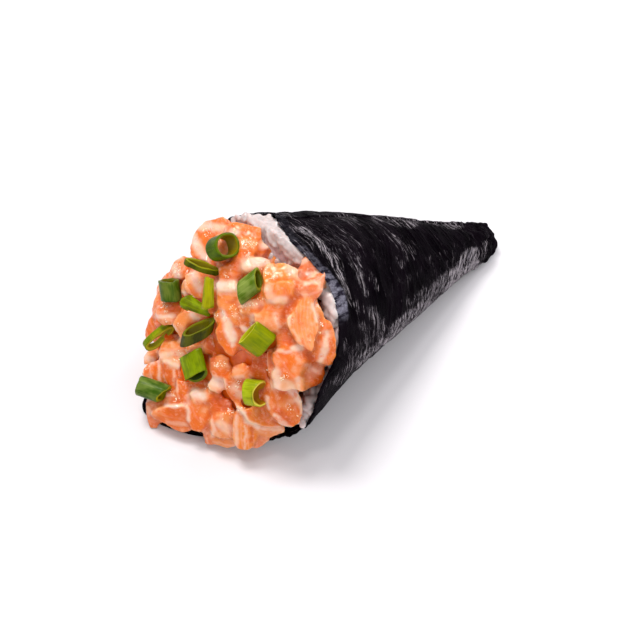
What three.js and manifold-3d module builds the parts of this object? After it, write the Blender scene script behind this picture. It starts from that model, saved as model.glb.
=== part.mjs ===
// Temaki hand roll lying on its side: a sheet of nori rolled into a cone, a lining of sushi rice,
// a heap of diced salmon that bulges out of the open end, and twelve cut pieces of spring onion on it.
// Millimetres, +Z up, the roll rests on z = 0. The open end faces -Y and the tip points to +Y.
import * as THREE from "three";
import { mergeVertices } from "three/addons/utils/BufferGeometryUtils.js";
import Module from "manifold-3d";

// ---- driving dimensions ----------------------------------------------------------------------
const HALF_ANGLE = 16.2; // degrees, half the opening angle of the rolled cone
const APEX_X = 4.3; // where the cone's lines would meet, on the floor
const APEX_Y = 85.4;
const TIP_SLANT = 15; // slant distance from that point to the blunt folded tip
const STUB = 2.4; // the tip is this much thicker than the cone
const RIM_SLANT = 126; // slant length of the sheet, from that point to its free edge at the top
const FOOT = 9; // extra length of the edge where it lies on the floor
const TONGUE = 18; // and of the sheet's corner there
const SHEET = 0.8; // nori, two turns of one sheet pressed together
const LAP = 0.45; // step where the sheet's outer end lies over the turn beneath
const LAP_AT = 112; // degrees round the cone
const SAG = 1.6; // the round cone is pressed flat on the floor by this much at the mouth
const SPREAD = 7; // and its foot is spread sideways by this much
const RICE = 7.6; // thickness of the rice lining
const PLUG_END = 62; // slant where the salmon stops inside the rice
const DOME = 18; // how far the salmon bulges out past the mouth
const CHIN = 6; // and how much further it stands out low down, over the tongue
const CUBE = 12; // size of a salmon dice
const GAP = 0.3; // clearance between neighbouring pieces
const RIM_POINTS = 60;

const rad = THREE.MathUtils.degToRad;
const ALPHA = rad(HALF_ANGLE);
const AXIS = new THREE.Vector3(0, -Math.cos(ALPHA), Math.sin(ALPHA)); // out of the mouth
const SIDE = new THREE.Vector3(1, 0, 0);
const RISE = new THREE.Vector3(0, Math.sin(ALPHA), Math.cos(ALPHA));
const APEX = new THREE.Vector3(APEX_X, APEX_Y, 0);

const bell = (d, width) => Math.exp(-((d / width) ** 2));
const turn = (a) => ((((a + 180) % 360) + 360) % 360) - 180; // degrees to -180..180
const ramp = (x, a, b) => THREE.MathUtils.smoothstep(x, a, b);

// Smooth maximum of z and a floor: exactly the floor once z is more than w beneath it.
function settle(z, floor, w = 1.2) {
  const d = z - floor;
  return d > w ? z : d < -w ? floor : floor + (d + w) ** 2 / (4 * w);
}

// ---- the cone --------------------------------------------------------------------------------
// s: slant from the apex, phi: degrees round the cone (0 = +X side, 90 = top, -90 = floor),
// inset: depth under the outer face of the nori.
function coneSpiral(phi) {
  // outward step of the lapped sheet: grows once round and drops back at the lap
  const along = (((phi - LAP_AT) % 360) + 360) % 360;
  return LAP * (1 - along / 360);
}
function cone(s, phi, inset = 0) {
  const a = rad(phi);
  // gentle flats and dents, a belly along the top seam, and a stub where the tip is folded over
  const dent =
    0.45 * Math.sin(3 * a + 0.9) * ramp(s, 20, 110) +
    0.3 * Math.sin(5 * a - 1.2 + s / 45) * ramp(s, 30, 120) +
    bell(turn(phi - 112), 38) * (1.3 * bell(s - 78, 30) - 1.6 * ramp(s, 98, 128)) -
    0.9 * bell(turn(phi + 22), 30) * bell(s - 106, 16) +
    STUB * (0.5 - 0.5 * Math.sin(a)) * bell(s - TIP_SLANT - 3, 13);
  const r = s * Math.sin(ALPHA) + dent - inset * Math.cos(ALPHA);
  const t = s * Math.cos(ALPHA) + inset * Math.sin(ALPHA);
  const p = new THREE.Vector3()
    .addScaledVector(AXIS, t)
    .addScaledVector(SIDE, r * Math.cos(a))
    .addScaledVector(RISE, r * Math.sin(a));
  p.z = settle(p.z - (SAG * s) / 137, Math.max(inset, 0));
  const low = 1 - ramp(p.z, 2, 30);
  p.x +=
    SPREAD * ramp(s, 98, 138) * low * THREE.MathUtils.clamp(p.x / 16, -1, 1);
  return p.add(APEX);
}

// Slant length of the sheet round the cone: short on the near side, with one corner that runs
// out over the floor under the filling like a tongue.
function rim(phi) {
  const down = turn(phi);
  const foot = ramp(-down, 36, 56) * (1 - ramp(-down, 104, 140));
  return (
    RIM_SLANT -
    4.5 * bell(turn(phi - 42), 24) +
    1.5 * bell(turn(phi + 20), 18) +
    FOOT * foot +
    TONGUE * bell(turn(phi + 96), 19) -
    4 * bell(turn(phi - 170), 40) -
    2.5 * bell(turn(phi - 128), 22)
  );
}
// How far the rice stands past the sheet's edge: proud at the top and at the near foot.
function riceEdge(phi) {
  return (
    rim(phi) -
    3 +
    6.5 * bell(turn(phi - 118), 26) +
    7 * bell(turn(phi + 36), 15) +
    3.6 * bell(turn(phi - 26), 14) +
    0.9 * Math.sin(rad(phi * 9)) * Math.sin(rad(phi * 4 + 40))
  );
}
function riceThickness(s, phi) {
  const mouth =
    RICE +
    2.4 * bell(turn(phi - 88), 32) -
    3.2 * bell(turn(phi - 15), 40) -
    1.5 * bell(turn(phi + 50), 26);
  return THREE.MathUtils.lerp(RICE * 0.8, mouth, ramp(s, 60, 130));
}

// ---- closed lofted surfaces ------------------------------------------------------------------
// rows: arrays of equally many points, each a closed ring. The ends close on one centre point.
function loft(rows, first, last) {
  const n = rows[0].length;
  const position = [];
  rows.flat().forEach((p) => position.push(p.x, p.y, p.z));
  position.push(first.x, first.y, first.z, last.x, last.y, last.z);
  const a = rows.length * n,
    b = a + 1;
  const index = [];
  for (let j = 0; j < n; j++) {
    const k = (j + 1) % n;
    index.push(a, k, j);
    for (let i = 0; i + 1 < rows.length; i++) {
      const p = i * n;
      index.push(p + j, p + k, p + n + j, p + k, p + n + k, p + n + j);
    }
    const q = (rows.length - 1) * n;
    index.push(b, q + j, q + k);
  }
  const g = new THREE.BufferGeometry();
  g.setAttribute("position", new THREE.Float32BufferAttribute(position, 3));
  g.setIndex(index);
  return g;
}
const mean = (row) =>
  row
    .reduce((sum, p) => sum.add(p), new THREE.Vector3())
    .divideScalar(row.length);

const angles = Array.from(
  { length: RIM_POINTS },
  (_, i) => -180 + (360 * i) / RIM_POINTS,
);
const steps = (a, b, n) =>
  Array.from({ length: n }, (_, i) => a + ((b - a) * i) / (n - 1));

// ---- nori ------------------------------------------------------------------------------------
// The tip is squeezed shut and folded over: its last ring shrinks to a blunt end.
function squeeze(s, inset, pinch) {
  const ring = angles.map((phi) => cone(s, phi, inset));
  const c = mean(ring);
  return ring.map((p) => p.clone().lerp(c, pinch));
}
function noriGeometry(grow = 0) {
  const outer = (s, phi) => cone(s, phi, -grow - coneSpiral(phi));
  const inner = (s, phi) => cone(s, phi, SHEET + grow);
  const rows = [squeeze(TIP_SLANT - 1.4, -grow, 0.42)];
  const fractions = steps(0, 1, 9);
  rows.push(...fractions.map((f) => angles.map((phi) => outer(TIP_SLANT + f * (rim(phi) + grow - TIP_SLANT), phi))));
  rows.push(...steps(1, 0, 7).map((f) => {
    const from = TIP_SLANT + 7;
    return angles.map((phi) => inner(from + f * (rim(phi) + grow - from), phi));
  }));
  // outer skin runs from the tip to the rim, then back down inside
  const tipCentre = mean(rows[0]).add(new THREE.Vector3(0, 0.5, 0.2));
  const end = mean(rows[rows.length - 1]).add(new THREE.Vector3(0, 2.5, 0));
  return loft(rows, tipCentre, end);
}

// ---- rice ------------------------------------------------------------------------------------
function riceGeometry(grow = 0) {
  const gap = SHEET + GAP;
  const rows = [];
  const start = TIP_SLANT + 12;
  const crumb = (s, phi) =>
    0.35 * Math.sin(s * 1.1 + phi / 9) * Math.sin(rad(phi * 7));
  for (const f of steps(0, 1, 9))
    rows.push(
      angles.map((phi) => cone(start + f * (riceEdge(phi) + grow - start), phi, gap)),
    );
  for (const f of steps(1, 0, 8))
    rows.push(
      angles.map((phi) => {
        const from = PLUG_END - 3;
        const s = from + f * (riceEdge(phi) - 1.6 + grow - from);
        return cone(s, phi, gap + riceThickness(s, phi) + grow + crumb(s, phi));
      }),
    );
  return loft(
    rows,
    mean(rows[0]).add(new THREE.Vector3(0, 3, -0.5)),
    mean(rows[rows.length - 1]).add(new THREE.Vector3(0, 4, 0)),
  );
}

// ---- salmon ----------------------------------------------------------------------------------
// Dice centres on a sunflower spiral: each lifts the heap's skin into a rounded corner of a dice.
const dice = Array.from({ length: 34 }, (_, i) => {
  const r = Math.sqrt(i / 34) * 1.05,
    a = rad(i * 137.508);
  return {
    x: 34 * r * Math.cos(a),
    y: 34 * r * Math.sin(a),
    twist: i * 1.7,
    size: CUBE * (0.62 + 0.1 * Math.cos(i * 2.4)),
    lift: 2.4 + 0.8 * Math.sin(i * 5.1),
  };
});
function dicing(rho, phi) {
  let best = 0;
  for (const d of dice) {
    const x = 34 * rho * Math.cos(rad(phi)) - d.x,
      y = 34 * rho * Math.sin(rad(phi)) - d.y;
    const u = Math.abs(x * Math.cos(d.twist) + y * Math.sin(d.twist)),
      v = Math.abs(y * Math.cos(d.twist) - x * Math.sin(d.twist));
    const k = 1 - Math.max(u, v) / d.size;
    if (k > 0) best = Math.max(best, d.lift * Math.min(1, 2 * k));
  }
  return best - 1;
}
// Depth of the heap's brow under the outer face of the nori: it leaves the rice bare at the top and
// the near foot, and hangs over the sheet's edge (less than nothing) on the far side and the foot.
function browInset(phi) {
  return (
    1.3 +
    6.6 * bell(turn(phi - 86), 24) +
    1.8 * bell(turn(phi - 26), 9) +
    3.6 * bell(turn(phi + 46), 18) -
    3.4 * bell(turn(phi - 180), 34) -
    9.5 * bell(turn(phi + 143), 24) -
    1.6 * bell(turn(phi + 95), 26)
  );
}
const FORWARD = new THREE.Vector3(-0.1, -0.95, 0.3);
const MOUTH = new THREE.Vector3().addScaledVector(AXIS, 122).add(APEX);
function salmonGeometry() {
  const inset = (s, phi) => SHEET + GAP + riceThickness(s, phi) + GAP;
  const rows = [];
  const plug = (s, phi) => cone(s, phi, inset(s, phi) + 0.5);
  const edge = (phi) => Math.max(riceEdge(phi), rim(phi)) + 1;
  // inside the rice, from the end of the plug out to the edge
  for (const f of steps(0, 1, 6))
    rows.push(angles.map((phi) => plug(PLUG_END + f * (edge(phi) - PLUG_END), phi)));
  // round the edge and over the dome
  const brow = angles.map((phi) => {
    const out = Math.max(0, inset(120, phi) - browInset(phi));
    const p = cone(edge(phi) + 1 + 0.32 * out, phi, browInset(phi));
    p.z = Math.max(p.z, 1.2);
    return p;
  });
  rows.push(brow);
  const top = new THREE.Vector3()
    .addScaledVector(AXIS, DOME)
    .addScaledVector(SIDE, -7)
    .addScaledVector(RISE, -6);
  const lean = top.clone().addScaledVector(AXIS, -top.dot(AXIS));
  for (const f of steps(0.07, 0.93, 13)) {
    // f runs from the brow to the top of the dome along a quarter of an oval
    const w = Math.cos((f * Math.PI) / 2),
      h = Math.sin((f * Math.PI) / 2);
    rows.push(
      angles.map((phi, j) => {
        const out = brow[j].clone().sub(MOUTH);
        const axial = out.dot(AXIS);
        const flat = out.addScaledVector(AXIS, -axial);
        const p = MOUTH.clone()
          .addScaledVector(flat, w)
          .addScaledVector(lean, 1 - w)
          .addScaledVector(AXIS, axial + (DOME - axial) * h ** 1.15);
        const dir = flat.normalize().multiplyScalar(w).addScaledVector(AXIS, h);
        const shoulder = 3.2 * bell(turn(phi + 158), 26) * Math.sin(Math.PI * w) * h;
        // the heap is full at the foot: it stands out over the tongue like a chin
        const full = CHIN * bell(turn(phi + 100), 36) * bell(f - 0.44, 0.22);
        const q = p.addScaledVector(dir, dicing(w, phi) + shoulder).addScaledVector(FORWARD, full);
        q.z = Math.max(q.z, f < 0.1 ? 1.4 : 3.2);
        return q;
      }),
    );
  }
  return loft(
    rows,
    mean(rows[0]).add(new THREE.Vector3(0, 5, 0)),
    mean(rows[rows.length - 1]).addScaledVector(AXIS, 0.3),
  );
}

// ---- manifold helpers ------------------------------------------------------------------------
const wasm = await Module();
wasm.setup();
function solid(geometry) {
  const g = geometry.clone();
  g.deleteAttribute("normal");
  g.deleteAttribute("uv");
  const m = mergeVertices(g, 1e-4);
  return new wasm.Manifold(
    new wasm.Mesh({
      numProp: 3,
      vertProperties: m.attributes.position.array,
      triVerts: new Uint32Array(m.index.array),
    }),
  );
}
function geometryOf(body) {
  const m = body.getMesh();
  const g = new THREE.BufferGeometry();
  g.setAttribute(
    "position",
    new THREE.Float32BufferAttribute(
      Float32Array.from(m.vertProperties),
      3,
    ),
  );
  g.setIndex(Array.from(m.triVerts));
  return g;
}
const largest = (body) =>
  body.decompose().sort((a, b) => b.volume() - a.volume())[0];

// ---- spring onion ----------------------------------------------------------------------------
// Each piece is a short length of hollow leaf, pressed oval: where its middle lies, the direction of
// its bore, the direction of its flattened side, half its width and half its thickness, its length
// and how far the two cuts slant. Where arc is under 360 it is only a strip of the wall.
const WALL = 0.9;
const SUNK = 0.35; // clearance round a piece in the pocket it presses into the salmon
const cuts = [
  { at: [-6.8, -37.6, 60.9], axis: [0.64, 0.26, 0.73], flat: [0.77, -0.20, -0.60], half: [4.9, 4.0], length: 5.4, slant: 0, arc: 360, color: 0x3f7a16 },
  { at: [-9.6, -44.0, 53.5], axis: [-0.08, 0.40, 0.92], flat: [0.61, -0.70, 0.36], half: [5.9, 2.3], length: 1.8, slant: 0, arc: 360, color: 0x4c7414 },
  { at: [-19.4, -50.0, 37.2], axis: [-0.67, 0.32, 0.67], flat: [-0.26, -0.95, 0.19], half: [4.3, 3.3], length: 6.6, slant: 0.15, arc: 360, color: 0x3d6b2a },
  { at: [-2.1, -46.3, 49.5], axis: [-0.54, 0.45, 0.71], flat: [-0.07, -0.86, 0.50], half: [2.9, 2.3], length: 10.0, slant: 0, arc: 150, color: 0x8fa31a },
  { at: [-5.8, -49.6, 42.5], axis: [0.89, 0.44, -0.15], flat: [0.45, -0.75, 0.48], half: [2.4, 2.0], length: 8.6, slant: 0, arc: 170, color: 0x6fa01c },
  { at: [8.5, -38.8, 57.5], axis: [0.24, 0.78, 0.58], flat: [0.10, -0.61, 0.78], half: [3.4, 3.0], length: 7.0, slant: 0.55, arc: 360, color: 0x557f36 },
  { at: [-17.2, -56.8, 20.6], axis: [0.96, -0.20, 0.20], flat: [-0.26, -0.38, 0.89], half: [6.0, 2.6], length: 2.4, slant: 0, arc: 360, color: 0x6c9a1e },
  { at: [0.2, -53.2, 37.3], axis: [-0.01, 0.23, 0.97], flat: [0.65, -0.73, 0.18], half: [4.6, 3.4], length: 4.7, slant: -1.0, arc: 360, color: 0x33560f },
  { at: [20.0, -44.5, 47.0], axis: [-0.72, -0.44, 0.54], flat: [0.66, -0.69, 0.31], half: [4.9, 2.8], length: 7.4, slant: 0, arc: 360, color: 0x5f9a22 },
  { at: [1.8, -56.2, 25.0], axis: [0.80, -0.27, -0.53], flat: [0.01, -0.88, 0.47], half: [4.9, 2.6], length: 7.4, slant: -0.1, arc: 360, color: 0x84a81c },
  { at: [-5.1, -67.8, 13.1], axis: [0.84, 0.54, -0.07], flat: [0.51, -0.82, -0.24], half: [3.7, 3.3], length: 10.0, slant: 0, arc: 360, color: 0x4a8a1e },
  { at: [26.4, -50.2, 31.1], axis: [0.80, 0.55, 0.22], flat: [0.48, -0.82, 0.31], half: [4.4, 3.6], length: 5.8, slant: 0, arc: 360, color: 0xa3b23a },
];
// the frame of a piece: z along its bore, y along its flattened side
function frameOf(cut) {
  const z = new THREE.Vector3(...cut.axis).normalize();
  const y = new THREE.Vector3(...cut.flat);
  y.addScaledVector(z, -y.dot(z)).normalize();
  const x = new THREE.Vector3().crossVectors(y, z);
  return new THREE.Matrix4()
    .makeBasis(x, y, z)
    .setPosition(new THREE.Vector3(...cut.at));
}
// centred on its own middle, both ends cut on the skew
function skewed(geometry, cut) {
  geometry.translate(0, 0, -cut.length / 2);
  return geometry.applyMatrix4(
    new THREE.Matrix4().makeShear(0, cut.slant, 0, 0, 0, 0),
  );
}
function oval(a, b, from, to, n) {
  return steps(from, to, n).map(
    (t) => new THREE.Vector2(a * Math.cos(rad(t)), b * Math.sin(rad(t))),
  );
}
function onionGeometry(cut) {
  const [a, b] = cut.half;
  let shape;
  if (cut.arc === 360) {
    shape = new THREE.Shape(oval(a, b, 0, 340, 18));
    shape.holes.push(new THREE.Path(oval(a - WALL, b - WALL, 0, 337.5, 16).reverse()));
  } else {
    const from = 90 - cut.arc / 2,
      to = 90 + cut.arc / 2;
    shape = new THREE.Shape([
      ...oval(a, b, from, to, 9),
      ...oval(a - WALL, b - WALL, to, from, 9),
    ]);
  }
  return skewed(
    new THREE.ExtrudeGeometry(shape, { depth: cut.length, bevelEnabled: false }),
    cut,
  );
}
function pocketGeometry(cut) {
  const [a, b] = cut.half;
  const grown = { ...cut, length: cut.length + 2 * SUNK };
  return skewed(
    new THREE.ExtrudeGeometry(new THREE.Shape(oval(a + SUNK, b + SUNK, 0, 340, 18)), {
      depth: grown.length,
      bevelEnabled: false,
    }),
    grown,
  ).applyMatrix4(frameOf(cut));
}

// ---- the roll --------------------------------------------------------------------------------
const skin = (color, roughness) =>
  new THREE.MeshStandardMaterial({ color, roughness, metalness: 0 });
const roll = new THREE.Group();
function piece(name, geometry, material) {
  const flat = geometry.index ? geometry.toNonIndexed() : geometry;
  flat.computeVertexNormals();
  const mesh = new THREE.Mesh(flat, material);
  mesh.name = name;
  roll.add(mesh);
  return mesh;
}

const nori = solid(noriGeometry());
const noriGrown = solid(noriGeometry(GAP));
const rice = solid(riceGeometry());
const riceGrown = solid(riceGeometry(GAP));
let salmon = solid(salmonGeometry()).subtract(noriGrown).subtract(riceGrown);
for (const cut of cuts) salmon = salmon.subtract(solid(pocketGeometry(cut)));
salmon = largest(salmon);

piece("nori", geometryOf(nori), skin(0x17121a, 0.45));
piece("rice", geometryOf(rice), skin(0xe9dfdc, 0.5));
piece("salmon", geometryOf(salmon), skin(0xf58b58, 0.3));
cuts.forEach((cut, i) => {
  const mesh = piece(
    "spring_onion_" + String(i + 1).padStart(2, "0"),
    onionGeometry(cut),
    skin(cut.color, 0.35),
  );
  frameOf(cut).decompose(mesh.position, mesh.quaternion, mesh.scale);
});

// the origin lies under the middle of the whole, at floor level
const box = new THREE.Box3().setFromObject(roll, true);
roll.position.set(
  -(box.min.x + box.max.x) / 2,
  -(box.min.y + box.max.y) / 2,
  -box.min.z,
);

export default roll;
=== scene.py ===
"""Temaki hand roll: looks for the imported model. Metres, +Z up, the roll lies on its side on z = 0."""

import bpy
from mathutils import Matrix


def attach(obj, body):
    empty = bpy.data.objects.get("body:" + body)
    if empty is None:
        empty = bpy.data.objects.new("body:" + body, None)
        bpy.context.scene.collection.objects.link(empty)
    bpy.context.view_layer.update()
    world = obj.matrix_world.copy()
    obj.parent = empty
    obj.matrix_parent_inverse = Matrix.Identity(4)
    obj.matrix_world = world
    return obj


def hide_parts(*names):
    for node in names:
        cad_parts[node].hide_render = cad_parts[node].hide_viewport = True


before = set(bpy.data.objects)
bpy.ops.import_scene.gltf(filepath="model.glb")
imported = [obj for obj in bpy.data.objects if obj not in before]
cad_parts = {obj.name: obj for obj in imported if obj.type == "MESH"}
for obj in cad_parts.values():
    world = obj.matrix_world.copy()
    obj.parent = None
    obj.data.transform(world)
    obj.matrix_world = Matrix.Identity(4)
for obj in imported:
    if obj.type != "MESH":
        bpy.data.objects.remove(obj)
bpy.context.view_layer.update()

import math
import bpy
import numpy as np
from mathutils import Matrix, Vector
from mathutils.bvhtree import BVHTree

MM = 0.001

# ---- camera ----------------------------------------------------------------------------------
AZ, EL, ROLL = math.radians(50.1), math.radians(50.0), math.radians(2.3)
FOCAL_PX, MID = 1590.0, 310.0
APEX = np.array([4.3017, 85.3375, 0.0])  # mm, where the cone's lines meet
back = np.array([math.sin(AZ) * math.cos(EL), -math.cos(AZ) * math.cos(EL), math.sin(EL)])
r0 = np.array([math.cos(AZ), math.sin(AZ), 0.0])
u0 = np.array([-math.sin(AZ) * math.sin(EL), math.cos(AZ) * math.sin(EL), math.cos(EL)])
right = math.cos(ROLL) * r0 + math.sin(ROLL) * u0
up = -math.sin(ROLL) * r0 + math.cos(ROLL) * u0
eye = APEX + np.array([260.452, -313.873, 426.431])

cam = bpy.data.objects.new("camera", bpy.data.cameras.new("camera"))
bpy.context.scene.collection.objects.link(cam)
cam.data.sensor_width = 36.0
cam.data.lens = FOCAL_PX * 36.0 / 620.0
cam.data.clip_start, cam.data.clip_end = 0.02, 20.0
cam.matrix_world = Matrix(
    [
        [right[0], up[0], back[0], eye[0] * MM],
        [right[1], up[1], back[1], eye[1] * MM],
        [right[2], up[2], back[2], eye[2] * MM],
        [0, 0, 0, 1],
    ]
)
bpy.context.scene.camera = cam


def pixel(p):
    """Where points in mm fall in the 620 x 620 picture."""
    d = np.atleast_2d(p) - eye
    depth = -(d @ back)
    return np.stack([MID + FOCAL_PX * (d @ right) / depth, MID - FOCAL_PX * (d @ up) / depth], -1)


def sight(x, y):
    """Direction of sight through a pixel."""
    d = (x - MID) / FOCAL_PX * right - (y - MID) / FOCAL_PX * up - back
    return d / np.linalg.norm(d)


# ---- small maths -----------------------------------------------------------------------------
def ramp(x, a, b):
    t = np.clip((x - a) / (b - a), 0, 1)
    return t * t * (3 - 2 * t)


def bell(d, width):
    return np.exp(-((d / width) ** 2))


def turn(a):
    return (a + 180.0) % 360.0 - 180.0


def unit(v):
    v = np.asarray(v, float)
    return v / np.maximum(np.linalg.norm(v, axis=-1, keepdims=True), 1e-12)


def settle(z, floor, w=1.2):
    d = z - floor
    return np.where(d > w, z, np.where(d < -w, floor, floor + (d + w) ** 2 / (4 * w)))


def noise(p, seed=0):
    """Smooth value noise, -1..1, on points of three coordinates, one cell per unit."""
    p = np.asarray(p, float)
    i = np.floor(p).astype(np.int64)
    f = p - i
    f = f * f * f * (f * (f * 6 - 15) + 10)
    out = np.zeros(p.shape[:-1])
    for dx in (0, 1):
        for dy in (0, 1):
            for dz in (0, 1):
                h = (i[..., 0] + dx) * 374761393 + (i[..., 1] + dy) * 668265263 + (i[..., 2] + dz) * 1442695041 + seed * 974634777
                h = (h ^ (h >> 13)) * 1274126177 & 0x7FFFFFFF
                h = (h ^ (h >> 15)) * 1103515245 & 0x7FFFFFFF
                v = ((h >> 8) & 0xFFFF) / 65535.0
                w = (f[..., 0] if dx else 1 - f[..., 0]) * (f[..., 1] if dy else 1 - f[..., 1]) * (f[..., 2] if dz else 1 - f[..., 2])
                out += v * w
    return out * 2 - 1


def linear(rgb):
    c = np.asarray(rgb, float) / 255.0
    return np.where(c <= 0.04045, c / 12.92, ((c + 0.055) / 1.055) ** 2.4)


# ---- meshes ----------------------------------------------------------------------------------
def make(name, verts_mm, faces, attrs=None, smooth=True):
    """A mesh object from points in mm; attrs are values for each point, of one, three or four numbers."""
    verts_mm = np.asarray(verts_mm, float)
    faces = np.asarray(faces, np.int32)
    k = faces.shape[1]
    me = bpy.data.meshes.new(name)
    me.vertices.add(len(verts_mm))
    me.vertices.foreach_set("co", (verts_mm * MM).astype(np.float32).ravel())
    me.loops.add(faces.size)
    me.loops.foreach_set("vertex_index", faces.ravel())
    me.polygons.add(len(faces))
    me.polygons.foreach_set("loop_start", np.arange(0, faces.size, k, dtype=np.int32))
    me.update(calc_edges=True)
    me.validate()
    if smooth:
        me.polygons.foreach_set("use_smooth", np.ones(len(me.polygons), bool))
    for key, values in (attrs or {}).items():
        values = np.asarray(values, np.float32)
        if values.ndim == 1:
            me.attributes.new(key, "FLOAT", "POINT").data.foreach_set("value", values)
        elif values.shape[1] == 3:
            me.attributes.new(key, "FLOAT_VECTOR", "POINT").data.foreach_set("vector", values.ravel())
        else:
            me.attributes.new(key, "FLOAT_COLOR", "POINT").data.foreach_set("color", values.ravel())
    ob = bpy.data.objects.new(name, me)
    bpy.context.scene.collection.objects.link(ob)
    return ob


def grid_faces(rows, cols, wrap=True):
    i = np.arange(rows - 1)[:, None]
    j = np.arange(cols if wrap else cols - 1)[None, :]
    k = (j + 1) % cols
    a, b = i * cols + j, i * cols + k
    return np.stack([a, b, b + cols, a + cols], -1).reshape(-1, 4)


def box_grid(n):
    """Points on the cube -1..1, n cells a side, joined at its edges, and its quads, facing out."""
    index, verts, faces = {}, [], []
    line = np.tan(np.linspace(-1, 1, n + 1) * math.pi / 4)

    def at(p):
        key = tuple(np.round(p, 5))
        if key not in index:
            index[key] = len(verts)
            verts.append(p)
        return index[key]

    for axis in range(3):
        for sign in (-1, 1):
            for i in range(n):
                for j in range(n):
                    quad = []
                    for di, dj in ((0, 0), (1, 0), (1, 1), (0, 1)):
                        p = [0.0] * 3
                        p[axis] = float(sign)
                        p[(axis + 1) % 3] = line[i + di]
                        p[(axis + 2) % 3] = line[j + dj]
                        quad.append(at(p))
                    faces.append(quad if sign > 0 else quad[::-1])
    return np.array(verts), np.array(faces)


def cad_mesh(node):
    """Points in mm and triangles of a CAD node at rest."""
    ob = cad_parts[node]
    ob = ob if hasattr(ob, "data") else bpy.data.objects[node]
    me = ob.data
    me.calc_loop_triangles()
    co = np.empty(len(me.vertices) * 3, np.float32)
    me.vertices.foreach_get("co", co)
    co = co.reshape(-1, 3)
    m = np.array(ob.matrix_world)
    co = co @ m[:3, :3].T + m[:3, 3]
    tri = np.empty(len(me.loop_triangles) * 3, np.int32)
    me.loop_triangles.foreach_get("vertices", tri)
    return co / MM, tri.reshape(-1, 3)


def tree(node):
    co, tri = cad_mesh(node)
    return BVHTree.FromPolygons([Vector(c) for c in co], tri.tolist())


def remeshed(name, node, voxel, shrink, smooth_steps=6):
    """A closed skin that follows a CAD node, even and a little smaller, and never turned inside out."""
    co, tri = cad_mesh(node)
    skin = BVHTree.FromPolygons([Vector(c) for c in co], tri.tolist())
    ob = make(name, co, tri, smooth=True)
    m = ob.modifiers.new("even", "REMESH")
    m.mode, m.voxel_size = "VOXEL", voxel * MM
    m = ob.modifiers.new("soft", "SMOOTH")
    m.factor, m.iterations = 0.5, smooth_steps
    dg = bpy.context.evaluated_depsgraph_get()
    me = bpy.data.meshes.new_from_object(ob.evaluated_get(dg))
    ob.modifiers.clear()
    old, ob.data = ob.data, me
    bpy.data.meshes.remove(old)
    count = len(me.vertices)
    at, way = np.empty(count * 3, np.float32), np.empty(count * 3, np.float32)
    me.vertices.foreach_get("co", at)
    me.vertices.foreach_get("normal", way)
    at, way = at.reshape(-1, 3).astype(float) / MM, way.reshape(-1, 3).astype(float)
    shift = np.zeros(count)
    for k in range(count):
        far = skin.ray_cast(Vector(at[k] - way[k] * 0.2), Vector(-way[k]), 60)[3]
        shift[k] = min(shrink, 0.34 * (far or 0.0))
    pair = np.empty(len(me.edges) * 2, np.int32)
    me.edges.foreach_get("vertices", pair)
    pair = pair.reshape(-1, 2)
    for _ in range(6):
        low = shift.copy()
        np.minimum.at(low, pair[:, 0], shift[pair[:, 1]])
        np.minimum.at(low, pair[:, 1], shift[pair[:, 0]])
        shift = 0.5 * shift + 0.5 * low
    many = np.maximum(np.bincount(pair.ravel(), minlength=count), 1)
    for _ in range(12):
        shift = (np.bincount(pair[:, 0], shift[pair[:, 1]], count) + np.bincount(pair[:, 1], shift[pair[:, 0]], count)) / many
    me.vertices.foreach_set("co", ((at - way * shift[:, None]) * MM).astype(np.float32).ravel())
    me.update()
    me.polygons.foreach_set("use_smooth", np.ones(len(me.polygons), bool))
    return ob


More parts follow.
